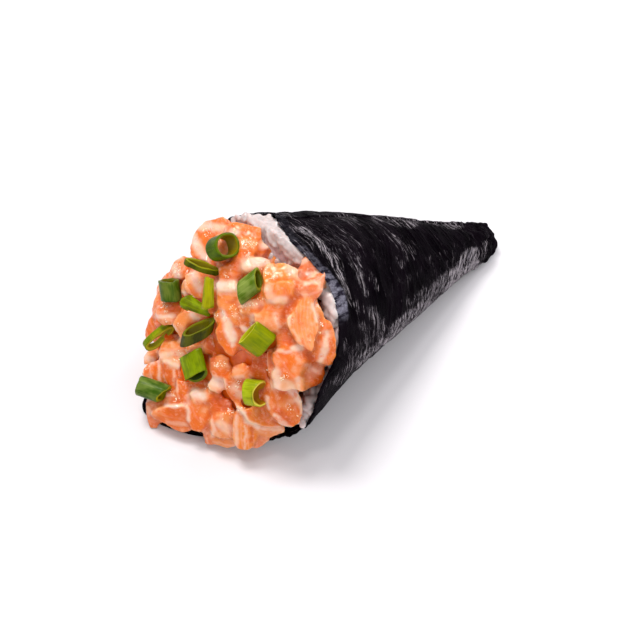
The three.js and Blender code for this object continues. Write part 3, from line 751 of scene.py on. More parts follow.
# Cuts seen from the front right: outline, colour, how far the face stands out (mm), its lean to the
# right and down in the picture, its depth (mm), fat lines (direction, spacing in mm, strength).
SEEN = [
    ([(188, 240), (190, 231), (194, 225), (199, 220), (206, 216.5), (214, 215), (222, 216), (226, 222), (225, 234), (214, 240), (208, 250), (208, 263), (197, 259), (190, 257), (188, 248)], "O", 0.9, (-0.3, -0.1), 9, (60, 6, 0.2)),
    ([(222, 223), (236, 221), (250, 222), (259, 228), (263, 238), (254, 241), (244, 239), (232, 238), (224, 236)], "O", -0.4, (0.0, -0.4), 8, (20, 5, 0.15)),
    ([(208, 236), (226, 234), (240, 240), (241, 254), (236, 262), (216, 263), (207, 254)], "P", -0.2, (0.0, 0.1), 8, (20, 5, 0.1)),
    ([(238, 241), (250, 237), (258, 243), (257, 252), (248, 258), (240, 253)], "P", 0.2, (0.1, 0.1), 7, (0, 4, 0.1)),
    ([(233, 251), (244, 246), (253, 253), (251, 266), (240, 268), (231, 261)], "O", -0.2, (0.0, 0.2), 8, (0, 4, 0.1)),
    ([(225, 308), (236, 306), (244, 310), (243, 321), (236, 326), (227, 318)], "P", -0.4, (0.0, 0.1), 8, (0, 4, 0.1)),
    ([(240, 309), (256, 307), (263, 313), (255, 321), (242, 320)], "O", -0.4, (0.0, 0.1), 8, (0, 4, 0.1)),
    ([(209, 400), (218, 397), (231, 399), (233, 411), (222, 417), (210, 412)], "D", -1.2, (0.0, 0.1), 8, (0, 5, 0.0)),
    ([(183, 391), (192, 389), (195, 402), (189, 409), (182, 403)], "O", -0.5, (0.0, 0.2), 7, (70, 4, 0.1)),
    ([(258, 250), (262, 244), (272, 242), (279, 246), (284, 256), (286, 262), (272, 263), (262, 262), (257, 257)], "Y", 0.2, (0.2, -0.2), 7, (75, 5, 0.1)),
    ([(250, 236), (262, 238), (270, 247), (264, 257), (250, 259), (244, 248)], "O", -1.2, (0.0, 0.1), 8, (20, 5, 0.1)),
    ([(286, 296), (296, 292), (302, 300), (292, 312), (284, 314)], "D", -1.0, (0.0, 0.1), 7, (0, 5, 0.0)),
    ([(243, 262), (250, 256), (262, 256), (271, 260), (268, 271), (256, 274), (245, 273), (241, 268)], "P", 0.5, (0.0, 0.1), 7, (0, 4, 0.1)),
    ([(266, 263), (284, 261), (296, 265), (299, 270), (299, 279), (292, 281), (276, 282), (264, 281), (262, 272)], "Y", 1.6, (0.1, -0.45), 8, (100, 5, 0.15)),
    ([(262, 280), (276, 281), (294, 280), (294, 288), (292, 297), (285, 304), (275, 304), (266, 300), (262, 290)], "Y", 1.2, (0.2, 0.35), 9, (100, 5, 0.12)),
    ([(298, 267), (301, 260), (306, 255.5), (311, 260), (316, 266), (320, 271.5), (309, 275), (299, 277)], "K", 2.4, (0.0, 0.3), 6, (-20, 3.2, 0.4)),
    ([(298, 276), (309, 274), (318, 272.5), (321, 279), (314, 282), (303, 286), (295, 285)], "D", 0.8, (0.0, 0.3), 6, (0, 5, 0)),
    ([(296, 286), (303, 283), (313, 280), (321, 279), (323, 291), (319, 298), (313, 301), (302, 299), (297, 294)], "K", 1.0, (0.1, 0.1), 7, (-12, 3.4, 0.25)),
    ([(296, 268), (303, 267), (308, 273), (306, 281), (299, 283)], "K", 5.6, (0.1, 0.1), 9, (0, 5, 0.3)),
    ([(165, 391), (180, 392), (185, 404), (173, 409), (162, 403)], "K", -0.6, (0.0, 0.2), 8, (1.2, 6, 0.6)),
    ([(258, 388), (264, 387), (266, 394), (264, 401), (258, 401)], "D", 2.0, (-0.4, 0.0), 5, (0, 5, 0.1)),
    ([(302, 348), (308, 345), (315, 351), (317, 361), (309, 365), (302, 363)], "D", -1.0, (0.0, 0.1), 8, (0, 5, 0.1)),
    ([(189, 378), (200, 377), (212, 383), (209, 391), (197, 392), (189, 388)], "O", -0.6, (0.0, 0.1), 8, (0, 5, 0.1)),
    ([(292, 264), (300, 266), (301, 276), (296, 280), (290, 274)], "O", 0.2, (0.0, 0.1), 8, (0, 5, 0.1)),
    ([(320, 279), (326, 281), (329, 291), (321, 297)], "K", 2.2, (0.4, 0.2), 6, (0, 5, 0)),
    ([(287, 318), (292, 311), (298, 302), (306, 296), (312, 298), (314, 306), (318, 318), (319, 328), (316, 340), (313, 353), (306, 350), (299, 344), (291, 334), (287, 325)], "P", 2.2, (0.25, 0.0), 7, (84, 1.1, 0.14)),
    ([(312, 299), (318, 302), (324, 312), (325, 320), (320, 326), (317, 316), (314, 306)], "P", 0.6, (0.4, 0.0), 6, (80, 3, 0.4)),
    ([(317, 332), (324, 322), (331, 320), (335, 326), (337, 338), (337, 352), (338, 361), (330, 368), (322, 365), (315, 361), (311, 352), (316, 342)], "O", 0.8, (0.4, 0.15), 9, (85, 4.4, 0.15)),
    # tone S: painted shade on this low cut
    ([(302, 362), (308, 361), (314, 365), (324, 371), (317, 377), (308, 380), (302, 379)], "S", -2.6, (0.2, 0.4), 7, (30, 4, 0.15)),
    ([(302, 380), (310, 378), (323, 371), (327, 374), (322, 384), (315, 388), (304, 390)], "D", -3.0, (0.3, 0.5), 9, (0, 5, 0)),
    ([(295, 376), (302, 380), (304, 392), (299, 393), (295, 385)], "P", 1.0, (0.3, 0.1), 5, (0, 5, 0)),
    ([(270, 352), (284, 348), (299, 344), (304, 350), (304, 362), (300, 373), (297, 381), (288, 379), (276, 373), (270, 362)], "O", 0.9, (-0.1, 0.1), 8, (50, 5, 0.12)),
    ([(270, 372), (280, 369), (292, 372), (299, 380), (299, 390), (285, 392), (271, 391)], "W", 1.3, (0.1, -0.1), 7, (0, 4, 0.1)),
    ([(272, 389), (280, 385), (292, 387), (299, 392), (304, 401), (304, 415), (301, 424), (294, 429), (286, 430), (280, 426), (273, 418), (270, 404)], "O", 1.8, (0.2, 0.2), 9, (70, 5, 0.1)),
    ([(250, 363), (257, 358), (266, 350), (269, 362), (268, 379), (258, 381), (250, 379)], "D", -1.6, (-0.2, 0.1), 7, (0, 5, 0)),
    ([(265, 350), (271, 348), (275, 364), (273, 378), (272, 394), (267, 392), (266, 370)], "K", 0.2, (-0.3, 0.0), 6, (85, 4, 0.2)),
    ([(276, 340), (284, 335), (292, 333), (300, 344), (293, 350), (280, 350), (275, 347)], "O", -0.8, (0.0, 0.3), 7, (10, 4, 0.15)),
    ([(253, 314), (264, 310), (275, 313), (280, 320), (281, 330), (272, 334), (260, 330), (254, 322)], "P", 1.3, (0.2, 0.0), 7, (0, 5, 0.05)),
    ([(280, 313), (288, 314), (288, 326), (292, 334), (282, 338), (274, 340), (272, 334), (281, 330)], "O", -1.4, (0.0, 0.1), 7, (60, 4, 0.1)),
    ([(262, 311), (265, 299), (285, 303), (288, 308), (282, 315), (272, 313)], "O", -0.2, (0.0, 0.3), 7, (0, 5, 0.1)),
    ([(237, 306), (246, 299), (258, 298), (264, 303), (262, 311), (250, 314), (240, 313)], "P", 0.7, (0.0, 0.0), 7, (0, 4, 0.1)),
    ([(238, 314), (250, 312), (256, 318), (255, 328), (251, 336), (243, 336), (238, 325)], "O", 0.3, (-0.1, 0.1), 7, (70, 4, 0.15)),
    ([(255, 299), (262, 284), (262, 296), (266, 301), (262, 312), (256, 308)], "O", -0.6, (-0.2, 0.1), 7, (60, 4, 0.1)),
    ([(214, 286), (216, 281), (236, 281), (239, 288), (237, 292), (216, 292)], "W", 1.2, (0.0, -0.3), 7, (0, 5, 0)),
    ([(215, 292), (238, 291), (240, 300), (236, 309), (222, 311), (214, 304)], "P", 0.4, (0.0, 0.3), 8, (0, 5, 0.2)),
    ([(216, 268), (226, 262), (240, 263), (242, 274), (236, 281), (220, 281), (214, 276)], "O", 0.0, (0.0, 0.2), 8, (20, 4, 0.15)),
    ([(184, 275), (192, 270), (204, 272), (206, 284), (201, 300), (192, 298), (184, 290)], "P", 0.3, (-0.1, 0.0), 8, (60, 4, 0.3)),
    ([(163, 270), (170, 259), (182, 255), (190, 258), (188, 266), (186, 276), (182, 280), (172, 279), (161, 282)], "O", 0.5, (-0.4, 0.0), 8, (-45, 4, 0.3)),
    ([(182, 280), (188, 276), (190, 292), (184, 297), (180, 292)], "P", -0.6, (-0.2, 0.1), 6, (0, 4, 0.2)),
    ([(154, 304), (160, 301), (175, 301), (182, 306), (182, 312), (172, 316), (158, 316), (154, 311)], "O", 0.0, (-0.3, 0.2), 8, (0, 4, 0.15)),
    ([(154, 312), (165, 312), (178, 315), (174, 324), (161, 329), (154, 325)], "P", 0.4, (-0.3, 0.0), 7, (10, 3, 0.3)),
    ([(147, 322), (153, 312), (157, 325), (152, 336), (145, 340), (144, 330)], "O", -0.2, (-0.6, 0.1), 7, (60, 3, 0.2)),
    ([(171, 326), (176, 316), (186, 310), (198, 312), (197, 320), (188, 325), (184, 334), (180, 344), (173, 335)], "P", 0.8, (-0.1, 0.0), 8, (0, 5, 0)),
    ([(164, 334), (172, 334), (179, 343), (172, 347), (163, 344)], "D", -1.4, (0.0, 0.2), 6, (0, 5, 0)),
    ([(157, 343), (172, 341), (183, 346), (192, 352), (184, 358), (176, 362), (160, 362), (156, 353)], "P", 0.7, (-0.2, 0.0), 8, (0, 3.4, 0.3)),
    ([(142, 357), (148, 350), (158, 347), (161, 356), (152, 363), (143, 365)], "P", 0.1, (-0.5, 0.0), 7, (0, 4, 0.2)),
    ([(141, 367), (146, 361), (158, 360), (163, 372), (161, 383), (148, 380), (140, 375)], "O", 0.4, (-0.4, 0.1), 8, (85, 3.4, 0.3)),
    ([(161, 361), (168, 365), (179, 368), (184, 381), (180, 392), (172, 388), (165, 383)], "O", -0.6, (-0.2, 0.2), 8, (70, 4, 0.2)),
    ([(162, 359), (172, 358), (181, 362), (180, 370), (168, 367)], "W", 0.5, (-0.1, -0.2), 5, (0, 5, 0)),
    ([(176, 378), (184, 380), (190, 388), (188, 402), (180, 403), (174, 394)], "O", -0.2, (-0.1, 0.2), 7, (80, 3, 0.3)),
    ([(160, 384), (168, 382), (176, 394), (182, 404), (166, 406), (158, 400)], "O", -0.4, (-0.3, 0.3), 7, (60, 4, 0.2)),
    ([(214, 332), (220, 322), (224, 312), (232, 316), (239, 334), (239, 345), (234, 357), (226, 354), (216, 346)], "O", 1.1, (0.0, 0.1), 8, (80, 6, 0.05)),
    ([(213, 312), (222, 308), (226, 314), (220, 323), (214, 322)], "P", 0.0, (0.0, 0.0), 6, (0, 4, 0.1)),
    ([(209, 358), (220, 354), (229, 358), (230, 368), (222, 371), (210, 370)], "P", -0.9, (0.0, 0.1), 7, (0, 4, 0.1)),
    ([(209, 370), (230, 368), (233, 378), (224, 381), (210, 380)], "O", 0.1, (0.1, 0.1), 6, (0, 4, 0.1)),
    ([(207, 385), (212, 378), (224, 377), (226, 386), (219, 394), (209, 391)], "W", 0.9, (0.1, -0.2), 7, (0, 4, 0.05)),
    ([(224, 380), (232, 374), (246, 378), (245, 392), (242, 404), (234, 405), (228, 397), (224, 390)], "O", 0.9, (0.1, 0.1), 8, (30, 5, 0.2)),
    ([(232, 366), (243, 362), (250, 372), (250, 380), (240, 380), (232, 376)], "P", -0.3, (0.0, 0.2), 6, (-30, 4, 0.2)),
    ([(188, 392), (196, 387), (206, 389), (213, 396), (208, 402), (195, 402)], "W", 1.0, (0.0, -0.3), 7, (-10, 4, 0.1)),
    ([(205, 390), (213, 388), (220, 394), (214, 404), (207, 404)], "O", 0.0, (0.2, 0.1), 6, (0, 5, 0)),
    ([(187, 408), (190, 402), (206, 403), (212, 411), (209, 420), (204, 429), (200, 433), (191, 431), (187, 419)], "O", 1.3, (-0.1, 0.2), 8, (60, 5, 0.1)),
    ([(148, 415), (158, 408), (170, 405), (187, 405), (189, 418), (192, 431), (181, 433), (170, 428), (160, 422), (150, 421)], "O", 0.3, (-0.2, 0.4), 7, (10, 4, 0.1)),
    ([(144, 403), (155, 399), (164, 405), (156, 413), (146, 412)], "K", -0.2, (-0.4, 0.4), 6, (0, 4, 0.1)),
    ([(146, 411), (156, 413), (163, 420), (160, 429), (150, 431), (147, 421)], "K", -0.4, (-0.3, 0.6), 7, (0, 4, 0.1)),
    ([(218, 403), (228, 401), (231, 410), (222, 414)], "K", -2.2, (0.0, 0.2), 6, (0, 5, 0)),
    ([(210, 420), (218, 414), (232, 412), (235, 424), (234, 438), (220, 440), (211, 436)], "P", 0.9, (0.0, 0.3), 8, (70, 4, 0.2)),
    ([(208, 436), (220, 439), (234, 437), (237, 446), (228, 449), (216, 446)], "P", 0.1, (0.0, 0.8), 7, (5, 4, 0.2)),
    ([(202, 434), (205, 424), (212, 420), (212, 436), (213, 446), (205, 445)], "K", -0.2, (-0.2, 0.5), 6, (80, 3, 0.3)),
    ([(235, 410), (243, 415), (247, 422), (253, 427), (257, 435), (256, 442), (251, 450), (243, 452), (236, 450), (232, 445), (231, 430), (232, 418)], "Y", 1.2, (0.0, 0.35), 8, (90, 1.9, 0.2)),
    ([(233, 405), (244, 408), (252, 407), (266, 403), (271, 412), (279, 422), (283, 428), (268, 428), (256, 425), (246, 421), (241, 414)], "Y", 1.4, (0.2, -0.1), 8, (40, 5, 0.05)),
    ([(246, 421), (258, 426), (270, 427), (284, 428), (285, 432), (273, 438), (262, 436), (254, 430)], "P", 0.9, (0.2, 0.9), 7, (0, 5, 0.1)),
    ([(255, 433), (268, 436), (272, 440), (264, 446), (256, 449), (251, 447)], "K", -0.2, (0.2, 0.8), 6, (0, 4, 0.1)),
    ([(265, 393), (272, 391), (273, 404), (272, 414), (267, 408)], "P", 0.6, (-0.2, 0.1), 5, (85, 4, 0.1)),
    ([(196, 310), (206, 312), (212, 318), (200, 320)], "P", -0.4, (0.0, 0.1), 6, (0, 4, 0.1)),
    ([(184, 346), (200, 345), (206, 352), (196, 356), (186, 354)], "P", -0.2, (0.0, 0.2), 6, (0, 3, 0.3)),
    ([(240, 336), (252, 334), (262, 348), (256, 360), (246, 352), (240, 346)], "O", -1.6, (0.0, 0.1), 7, (40, 3, 0.1)),
]
# Films of white fat that lie on the cuts, some of them painted sheen and highlights, and painted shade in the deep
# places between them: from, to, half width (px), strength.
FILMS_AND_SHEEN = [
    (200, 226, 222, 229, 4.5, 0.75), (191, 234, 196, 243, 4, 0.8), (196, 243, 200, 252, 5, 0.95), (200, 252, 207, 260, 4.5, 0.8),
    (231, 233, 237, 232, 3.5, 0.9), (263, 245, 276, 245, 4, 0.85), (244, 265, 266, 261, 6, 0.8), (290, 268, 298, 276, 5, 0.6),
    (301, 263, 311, 258, 2, 0.9), (308, 275, 319, 271, 2.4, 1.0), (305, 284, 318, 282, 1.8, 0.5), (268, 288, 272, 298, 4, 0.6),
    (270, 300, 286, 300, 4, 0.6), (217, 286, 235, 286, 5, 1.0), (193, 275, 199, 288, 4.5, 0.75), (183, 293, 192, 298, 2.5, 0.8),
    (169, 261, 182, 257, 2.6, 0.85), (174, 268, 177, 277, 4, 0.7), (158, 316, 174, 316, 2.2, 0.7), (172, 327, 180, 341, 2.4, 0.8),
    (193, 314, 196, 318, 3, 0.8), (160, 355, 182, 354, 3, 0.7), (146, 358, 152, 361, 3.5, 0.8), (159, 350, 159, 380, 1.5, 0.6),
    (166, 362, 178, 367, 3, 0.8), (173, 370, 177, 390, 1.5, 0.5), (223, 313, 228, 325, 3.4, 0.95), (228, 325, 233, 340, 4.2, 1.0),
    (233, 340, 234, 346, 2.4, 0.8), (252, 315, 254, 328, 2, 0.8), (243, 327, 250, 333, 2, 0.8), (241, 304, 260, 305, 4, 0.45),
    (276, 316, 279, 326, 2.4, 0.6), (289, 315, 288, 323, 2.2, 0.7), (292, 330, 298, 340, 1.6, 0.5), (313, 304, 317, 322, 1.6, 0.7),
    (327, 331, 326, 346, 2.6, 0.9), (326, 346, 321, 361, 3.4, 0.8), (294, 348, 302, 348, 2.8, 0.9), (278, 350, 292, 351, 1.6, 0.6),
    (276, 372, 277, 386, 4.5, 0.8), (292, 390, 300, 400, 4.5, 0.85), (301, 400, 302, 412, 1.8, 0.6), (274, 416, 290, 427, 2.2, 0.75),
    (268, 398, 269, 408, 1.8, 0.7), (236, 407, 244, 413, 2.8, 0.95), (244, 413, 247, 421, 2.4, 0.9), (247, 421, 258, 427, 2.2, 0.85),
    (262, 428, 282, 429, 2.4, 0.6), (236, 416, 236, 446, 1.8, 0.55), (245, 424, 245, 448, 1.0, 0.6), (213, 382, 222, 385, 5, 0.9),
    (194, 393, 203, 396, 4.5, 0.85), (188, 394, 189, 404, 1.8, 0.6), (186, 404, 189, 420, 2.0, 0.8), (166, 406, 184, 405, 2.0, 0.9),
    (168, 423, 186, 425, 2.2, 0.4), (220, 424, 229, 430, 4.5, 0.7), (213, 420, 213, 436, 2, 0.6), (235, 388, 240, 396, 4, 0.6),
    (236, 378, 244, 376, 1.6, 0.5), (306, 364, 318, 371, 1.5, 0.35), (297, 378, 300, 390, 2, 0.6), (148, 408, 150, 414, 2, 0.6),
]
# painted shade in the deep places between the cuts
HOLLOW_SHADE = [
    (266, 252, 267, 257, 3, 0.9), (290, 298, 285, 312, 3.5, 1.0), (207, 338, 214, 350, 5, 1.0), (212, 350, 210, 368, 4, 0.8),
    (234, 364, 242, 352, 5, 1.0), (304, 351, 310, 358, 4.5, 0.95), (222, 395, 226, 400, 5, 1.0), (215, 402, 228, 408, 5, 0.7),
    (276, 410, 290, 420, 2.6, 0.85), (254, 366, 262, 376, 6, 0.8), (222, 263, 238, 263, 3.2, 0.9), (213, 276, 216, 277, 3, 1.0),
    (170, 303, 171, 310, 3.5, 0.85), (165, 366, 170, 380, 3.5, 0.7), (178, 372, 182, 380, 2.5, 0.6), (172, 412, 184, 416, 5, 0.6),
    (251, 428, 252, 441, 1.8, 0.9), (258, 406, 266, 410, 3, 0.6), (262, 416, 270, 422, 4, 0.5), (286, 340, 292, 338, 3, 0.7),
    (298, 292, 300, 296, 2.5, 0.9), (296, 286, 296, 294, 2, 0.7), (303, 279, 318, 277, 2, 0.5), (288, 253, 293, 261, 3.5, 0.8),
    (240, 338, 241, 350, 2.5, 0.8), (192, 385, 202, 383, 2.2, 0.8), (204, 404, 212, 402, 2.5, 0.7), (206, 424, 207, 436, 2, 0.6),
    (236, 278, 240, 276, 2, 0.7), (232, 302, 235, 299, 2, 0.7), (154, 352, 157, 356, 2, 0.6), (280, 322, 280, 332, 2, 0.5),
    (189, 241, 189, 255, 2, 0.5), (330, 340, 333, 352, 2.6, 0.6), (270, 355, 272, 368, 1.8, 0.7), (187, 270, 200, 271, 1.6, 0.6),
    (280, 420, 286, 424, 1.5, 0.5), (266, 382, 268, 392, 2, 0.8),
]


OUTLINE = np.array([
    (188, 248), (188, 240), (190, 230), (194, 224.5), (199, 219.5), (206, 216), (214, 214.5), (222, 214.5), (240, 213), (256, 210), (290, 222), (312, 245),
    (330, 265), (342, 300), (345, 335), (342, 360), (330, 378), (318, 388), (307, 396), (305, 415), (302, 424), (294, 429),
    (286, 431), (282, 435), (272, 439), (264, 446), (256, 449), (251, 450), (243, 452), (235, 450), (228, 449), (216, 446),
    (205, 445), (202, 440), (204, 433), (192, 432), (181, 433), (172, 430), (165, 423), (158, 423), (157, 430), (150, 431),
    (148, 422), (144, 412), (143, 404), (143, 392), (140, 378), (140, 368), (142, 356), (144, 340), (145, 325), (149, 316),
    (153, 306), (155, 292), (158, 280), (164, 268), (170, 258), (182, 254), (188, 254),
], float)
# Where rice shows from the front right.
RICE_SEEN = [
    [(226, 214), (240, 211), (262, 211), (277, 215), (288, 227), (300, 243), (308, 255), (300, 264), (292, 259), (284, 252), (276, 247), (268, 240), (259, 236), (255, 229), (251, 223), (240, 221), (228, 220)],
    [(319, 291), (328, 289), (339, 300), (342, 315), (341, 326), (331, 323), (323, 312), (319, 300)],
    [(302, 388), (312, 386), (319, 392), (317, 404), (316, 414), (314, 422), (304, 423), (302, 410)],
]


def within(px, poly):
    """Which points of a picture lie inside an outline."""
    poly = np.asarray(poly, float)
    inside = np.zeros(len(px), bool)
    for (x0, y0), (x1, y1) in zip(poly, np.roll(poly, -1, 0)):
        cross = (y0 > px[:, 1]) != (y1 > px[:, 1])
        at = x0 + (px[:, 1] - y0) * (x1 - x0) / (y1 - y0 if y1 != y0 else 1e-9)
        inside ^= cross & (px[:, 0] < at)
    return inside


def pulled_in(co, poly):
    """Points that the camera sees outside poly are moved sideways onto its line."""
    px = pixel(co)
    out = np.nonzero(~within(px, poly))[0]
    if not len(out):
        return co
    best, goal = np.full(len(out), 1e9), np.zeros((len(out), 2))
    for a, b in zip(poly, np.roll(poly, -1, 0)):
        d = b - a
        t = np.clip(((px[out] - a) @ d) / (d @ d), 0, 1)
        q = a + t[:, None] * d
        dist = np.linalg.norm(px[out] - q, axis=1)
        nearer = dist < best
        best[nearer], goal[nearer] = dist[nearer], q[nearer]
    shift = goal - px[out]
    depth = -((co[out] - eye) @ back) / FOCAL_PX
    co = co.copy()
    co[out] += (shift[:, :1] * right - shift[:, 1:] * up) * depth[:, None]
    return co


class Heap:
    """Collects pieces of one kind into one mesh."""

    def __init__(self):
        self.v, self.f, self.a, self.n = [], [], {}, 0

    def add(self, v, f, **attrs):
        self.v.append(v)
        self.f.append(f + self.n)
        self.n += len(v)
        for k, val in attrs.items():
            val = np.asarray(val, float)
            if val.ndim == 1 and len(val) != len(v):
                val = np.broadcast_to(val, (len(v), len(val)))
            self.a.setdefault(k, []).append(val)

    def object(self, name):
        return make(name, np.concatenate(self.v), np.concatenate(self.f), {k: np.concatenate(v) for k, v in self.a.items()})


def hit(trees, x, y):
    """First skin that the sight through a pixel meets: point and outward direction."""
    best = None
    d = Vector(sight(x, y))
    for t in trees:
        p, n, _, dist = t.ray_cast(Vector(eye), d)
        if p is not None and (best is None or dist < best[2]):
            best = (np.array(p), np.array(n), dist)
    return best


BOX, BOX_FACES = box_grid(5)
BOX_TRIS = np.concatenate([BOX_FACES[:, [0, 1, 2]], BOX_FACES[:, [0, 2, 3]]])


def dice(gen, half, corner=6.0, cuts=5):
    """One cut piece, middle at the origin: a block with slanted faces."""
    v = BOX
    p = v / ((np.abs(v) ** corner).sum(1) ** (1 / corner))[:, None]
    for _ in range(cuts):
        d = unit(gen.normal(size=3))
        reach = (p @ d).max()
        over = p @ d - reach * gen.uniform(0.55, 0.85)
        p = p - np.maximum(over, 0)[:, None] * d
    shear = gen.uniform(-0.3, 0.3, 3)
    taper = 1 + gen.uniform(-0.25, 0.25) * p[:, 1]
    p = np.stack([p[:, 0] * taper + shear[0] * p[:, 1], p[:, 1] + shear[1] * p[:, 0], p[:, 2] + shear[2] * p[:, 0]], 1)
    return p * half


def slab(poly, plane, face, depth, gen):
    """A block with a many-cornered face seen through the pixels of poly."""
    front = []
    for x, y in poly:
        d = sight(x, y)
        front.append(eye + d * ((plane - eye) @ face) / (d @ face))
    front = np.array(front)
    mid = front.mean(0)
    k = len(front)
    tilt = 0.25 * gen.normal(size=3)
    rear = mid + (front - mid) * 0.86 - unit(face + tilt) * depth
    verts = np.concatenate([front, rear, [mid + face * 0.5], [rear.mean(0)]])
    i = np.arange(k)
    j = (i + 1) % k
    tris = np.concatenate([
        np.stack([i, j, np.full(k, 2 * k)], 1),
        np.stack([k + j, k + i, np.full(k, 2 * k + 1)], 1),
        np.stack([i, k + i, j], 1),
        np.stack([j, k + i, k + j], 1),
    ])
    # face out: the outline may run either way round
    n = np.cross(front[1] - front[0], mid - front[0])
    if n @ face < 0:
        tris = tris[:, ::-1]
    return verts, tris, mid


def outside(p, trees):
    """Whether a point, seen from the camera, lies clear of what the trees cover."""
    x, y = pixel(p)[0]
    return hit(trees, x, y) is None


def build_salmon():
    gen = np.random.default_rng(7)
    bits, owner, kinds, frames = [], [], [], []

    def keep(v, t, mid, tone, across, along, fat):
        start = sum(len(b[0]) for b in bits)
        bits.append((v, t + start))
        owner.extend([len(kinds)] * len(t))
        kinds.append((tone, fat[1], fat[2], gen.random()))
        frames.append((mid, across, along))

    mids = []
    for poly, tone, lift, lean, depth, fat in SEEN:
        c = np.mean(poly, 0)
        got = hit([salmon_tree, rice_tree], *c) or hit([nori_tree], *c)
        if got is None:
            print("no skin under cut at", c)
            continue
        p, n, _ = got
        for x, y in poly[::3]:
            more = hit([salmon_tree, rice_tree], *(c + (np.array([x, y]) - c) * 0.7))
            if more is not None:
                n = n + 0.5 * more[1]
        face = unit(unit(n) * 0.45 + back * 0.8 + lean[0] * 0.6 * right - lean[1] * 0.6 * up + 0.04 * gen.normal(size=3))
        tf = math.radians(fat[0])
        way = math.cos(tf) * right - math.sin(tf) * up
        along = unit(way - face * (way @ face))
        v, t, mid = slab(poly, p + back * (lift - 0.5), face, depth, gen)
        # a cut keeps to the heap: no corner far out in the air
        limit = max(lift + 0.9, 1.3)
        for q in range(len(v)):
            off, way_in = min(((v[q] - np.array(near)) @ np.array(nn), tuple(nn)) for near, nn in (b.find_nearest(Vector(v[q]))[:2] for b in (salmon_tree, rice_tree)))
            if off > limit:
                v[q] = v[q] - np.array(way_in) * (off - limit)
        keep(v, t, mid, tone, np.cross(along, face), along, fat)
        mids.append(mid - face * depth * 0.5)
    seen_count = len(kinds)
    # the rest of the heap: under and between them, and on the sides turned away
    p, n = surface_points("salmon", 9000, 5)
    ok = (p[:, 2] > 0.8) & (((p - APEX) @ AXIS) > 100)
    p, n = p[ok], n[ok]
    ok = open_air(p, n, [rice_tree, nori_tree])
    p, n = p[ok], n[ok]
    chosen = thinned(p - n * 4.0, 6.6, np.array(mids))
    names = list("OOPDOYKPOOD")
    everything = [salmon_tree, rice_tree, nori_tree]
    for i in chosen:
        seen = hit(everything, *pixel(p[i])[0])
        hidden = seen is not None and np.linalg.norm(seen[0] - p[i]) > 2.5
        half = gen.uniform([5.0, 4.6, 4.2], [7.2, 6.4, 5.6])
        z = unit(n[i] + 0.4 * gen.normal(size=3))
        x = unit(np.cross(z, gen.normal(size=3)))
        y = np.cross(z, x)
        local = dice(gen, half)
        v = local[:, :1] * x + local[:, 1:2] * y + local[:, 2:] * z
        sunk = -0.4 if hidden else 2.2
        if not hidden and n[i] @ right < -0.4:
            sunk = 1.0
        if n[i][2] < -0.15:  # none hangs down under the heap
            sunk = max(sunk, 1.8)
        through = salmon_tree.ray_cast(Vector(p[i] - n[i] * 0.1), Vector(-n[i]), 40)[3] or 40
        if through < 7 or (p[i][0] < -29 and p[i][2] < 17):
            continue
        tall = (v @ n[i]).max() - (v @ n[i]).min()
        v = v * min(1, (through + 0.4 - sunk) / tall)
        top = (v @ n[i]).max()
        centre = p[i] - n[i] * (top + sunk)
        for _ in range(8):
            tips = centre + v[np.argsort(-(v @ n[i]))[:12]]
            if not any(outside(q, everything) for q in tips):
                break
            centre = centre - n[i] * 0.4
        w = centre + v
        if max((q - np.array(near)) @ np.array(nn) for q in w for near, nn in [salmon_tree.find_nearest(Vector(q))[:2]]) > 1.5:
            continue
        along = unit(gen.normal(size=3))
        keep(w, BOX_TRIS, centre, names[gen.integers(len(names))], unit(np.cross(along, gen.normal(size=3))), along, (0, gen.uniform(3.0, 6.0), gen.uniform(0.0, 0.4)))
    print("cuts", seen_count, "+", len(kinds) - seen_count)
    verts = np.concatenate([b[0] for b in bits])
    tris = np.concatenate([b[1] for b in bits])
    ob = make("salmon_dice", verts, tris)
    m = ob.modifiers.new("joined", "REMESH")
    m.mode, m.voxel_size = "VOXEL", 0.62 * MM
    m = ob.modifiers.new("more", "DISPLACE")
    m.strength, m.mid_level = 0.75 * MM, 0.0
    m = ob.modifiers.new("again", "REMESH")
    m.mode, m.voxel_size = "VOXEL", 0.57 * MM
    m = ob.modifiers.new("less", "DISPLACE")
    m.strength, m.mid_level = -0.75 * MM, 0.0
    m = ob.modifiers.new("soft", "SMOOTH")
    m.factor, m.iterations = 0.5, 2
    me = bpy.data.meshes.new_from_object(ob.evaluated_get(bpy.context.evaluated_depsgraph_get()))
    ob.modifiers.clear()
    old, ob.data = ob.data, me
    bpy.data.meshes.remove(old)
    count = len(me.vertices)
    co = np.empty(count * 3, np.float32)
    me.vertices.foreach_get("co", co)
    co = co.reshape(-1, 3).astype(float) / MM
    edges = np.empty(len(me.edges) * 2, np.int32)
    me.edges.foreach_get("vertices", edges)
    edges = edges.reshape(-1, 2)
    degree = np.maximum(np.bincount(edges.ravel(), minlength=count), 1)[:, None]

    def soften(x, steps):
        for _ in range(steps):
            total = np.zeros_like(x)
            for k in range(x.shape[1]):
                total[:, k] = np.bincount(edges[:, 0], x[edges[:, 1], k], count) + np.bincount(edges[:, 1], x[edges[:, 0], k], count)
            x = 0.4 * x + 0.6 * total / degree
        return x

    # uneven cut faces
    nrm = np.empty(count * 3, np.float32)
    me.vertices.foreach_get("normal", nrm)
    nrm = nrm.reshape(-1, 3).astype(float)
    co = co + nrm * (0.28 * noise(co * 0.3, 3) + 0.14 * noise(co * 0.75, 4))[:, None]
    co = pulled_in(co, OUTLINE)
    co[:, 2] = np.maximum(co[:, 2], 0.6)
    ridge = ((co - soften(co, 14)) * nrm).sum(1)  # out at edges, in at hollows
    ridge = soften(ridge[:, None], 1)[:, 0]
    me.vertices.foreach_set("co", (co * MM).astype(np.float32).ravel())
    me.update()
    me.polygons.foreach_set("use_smooth", np.ones(len(me.polygons), bool))
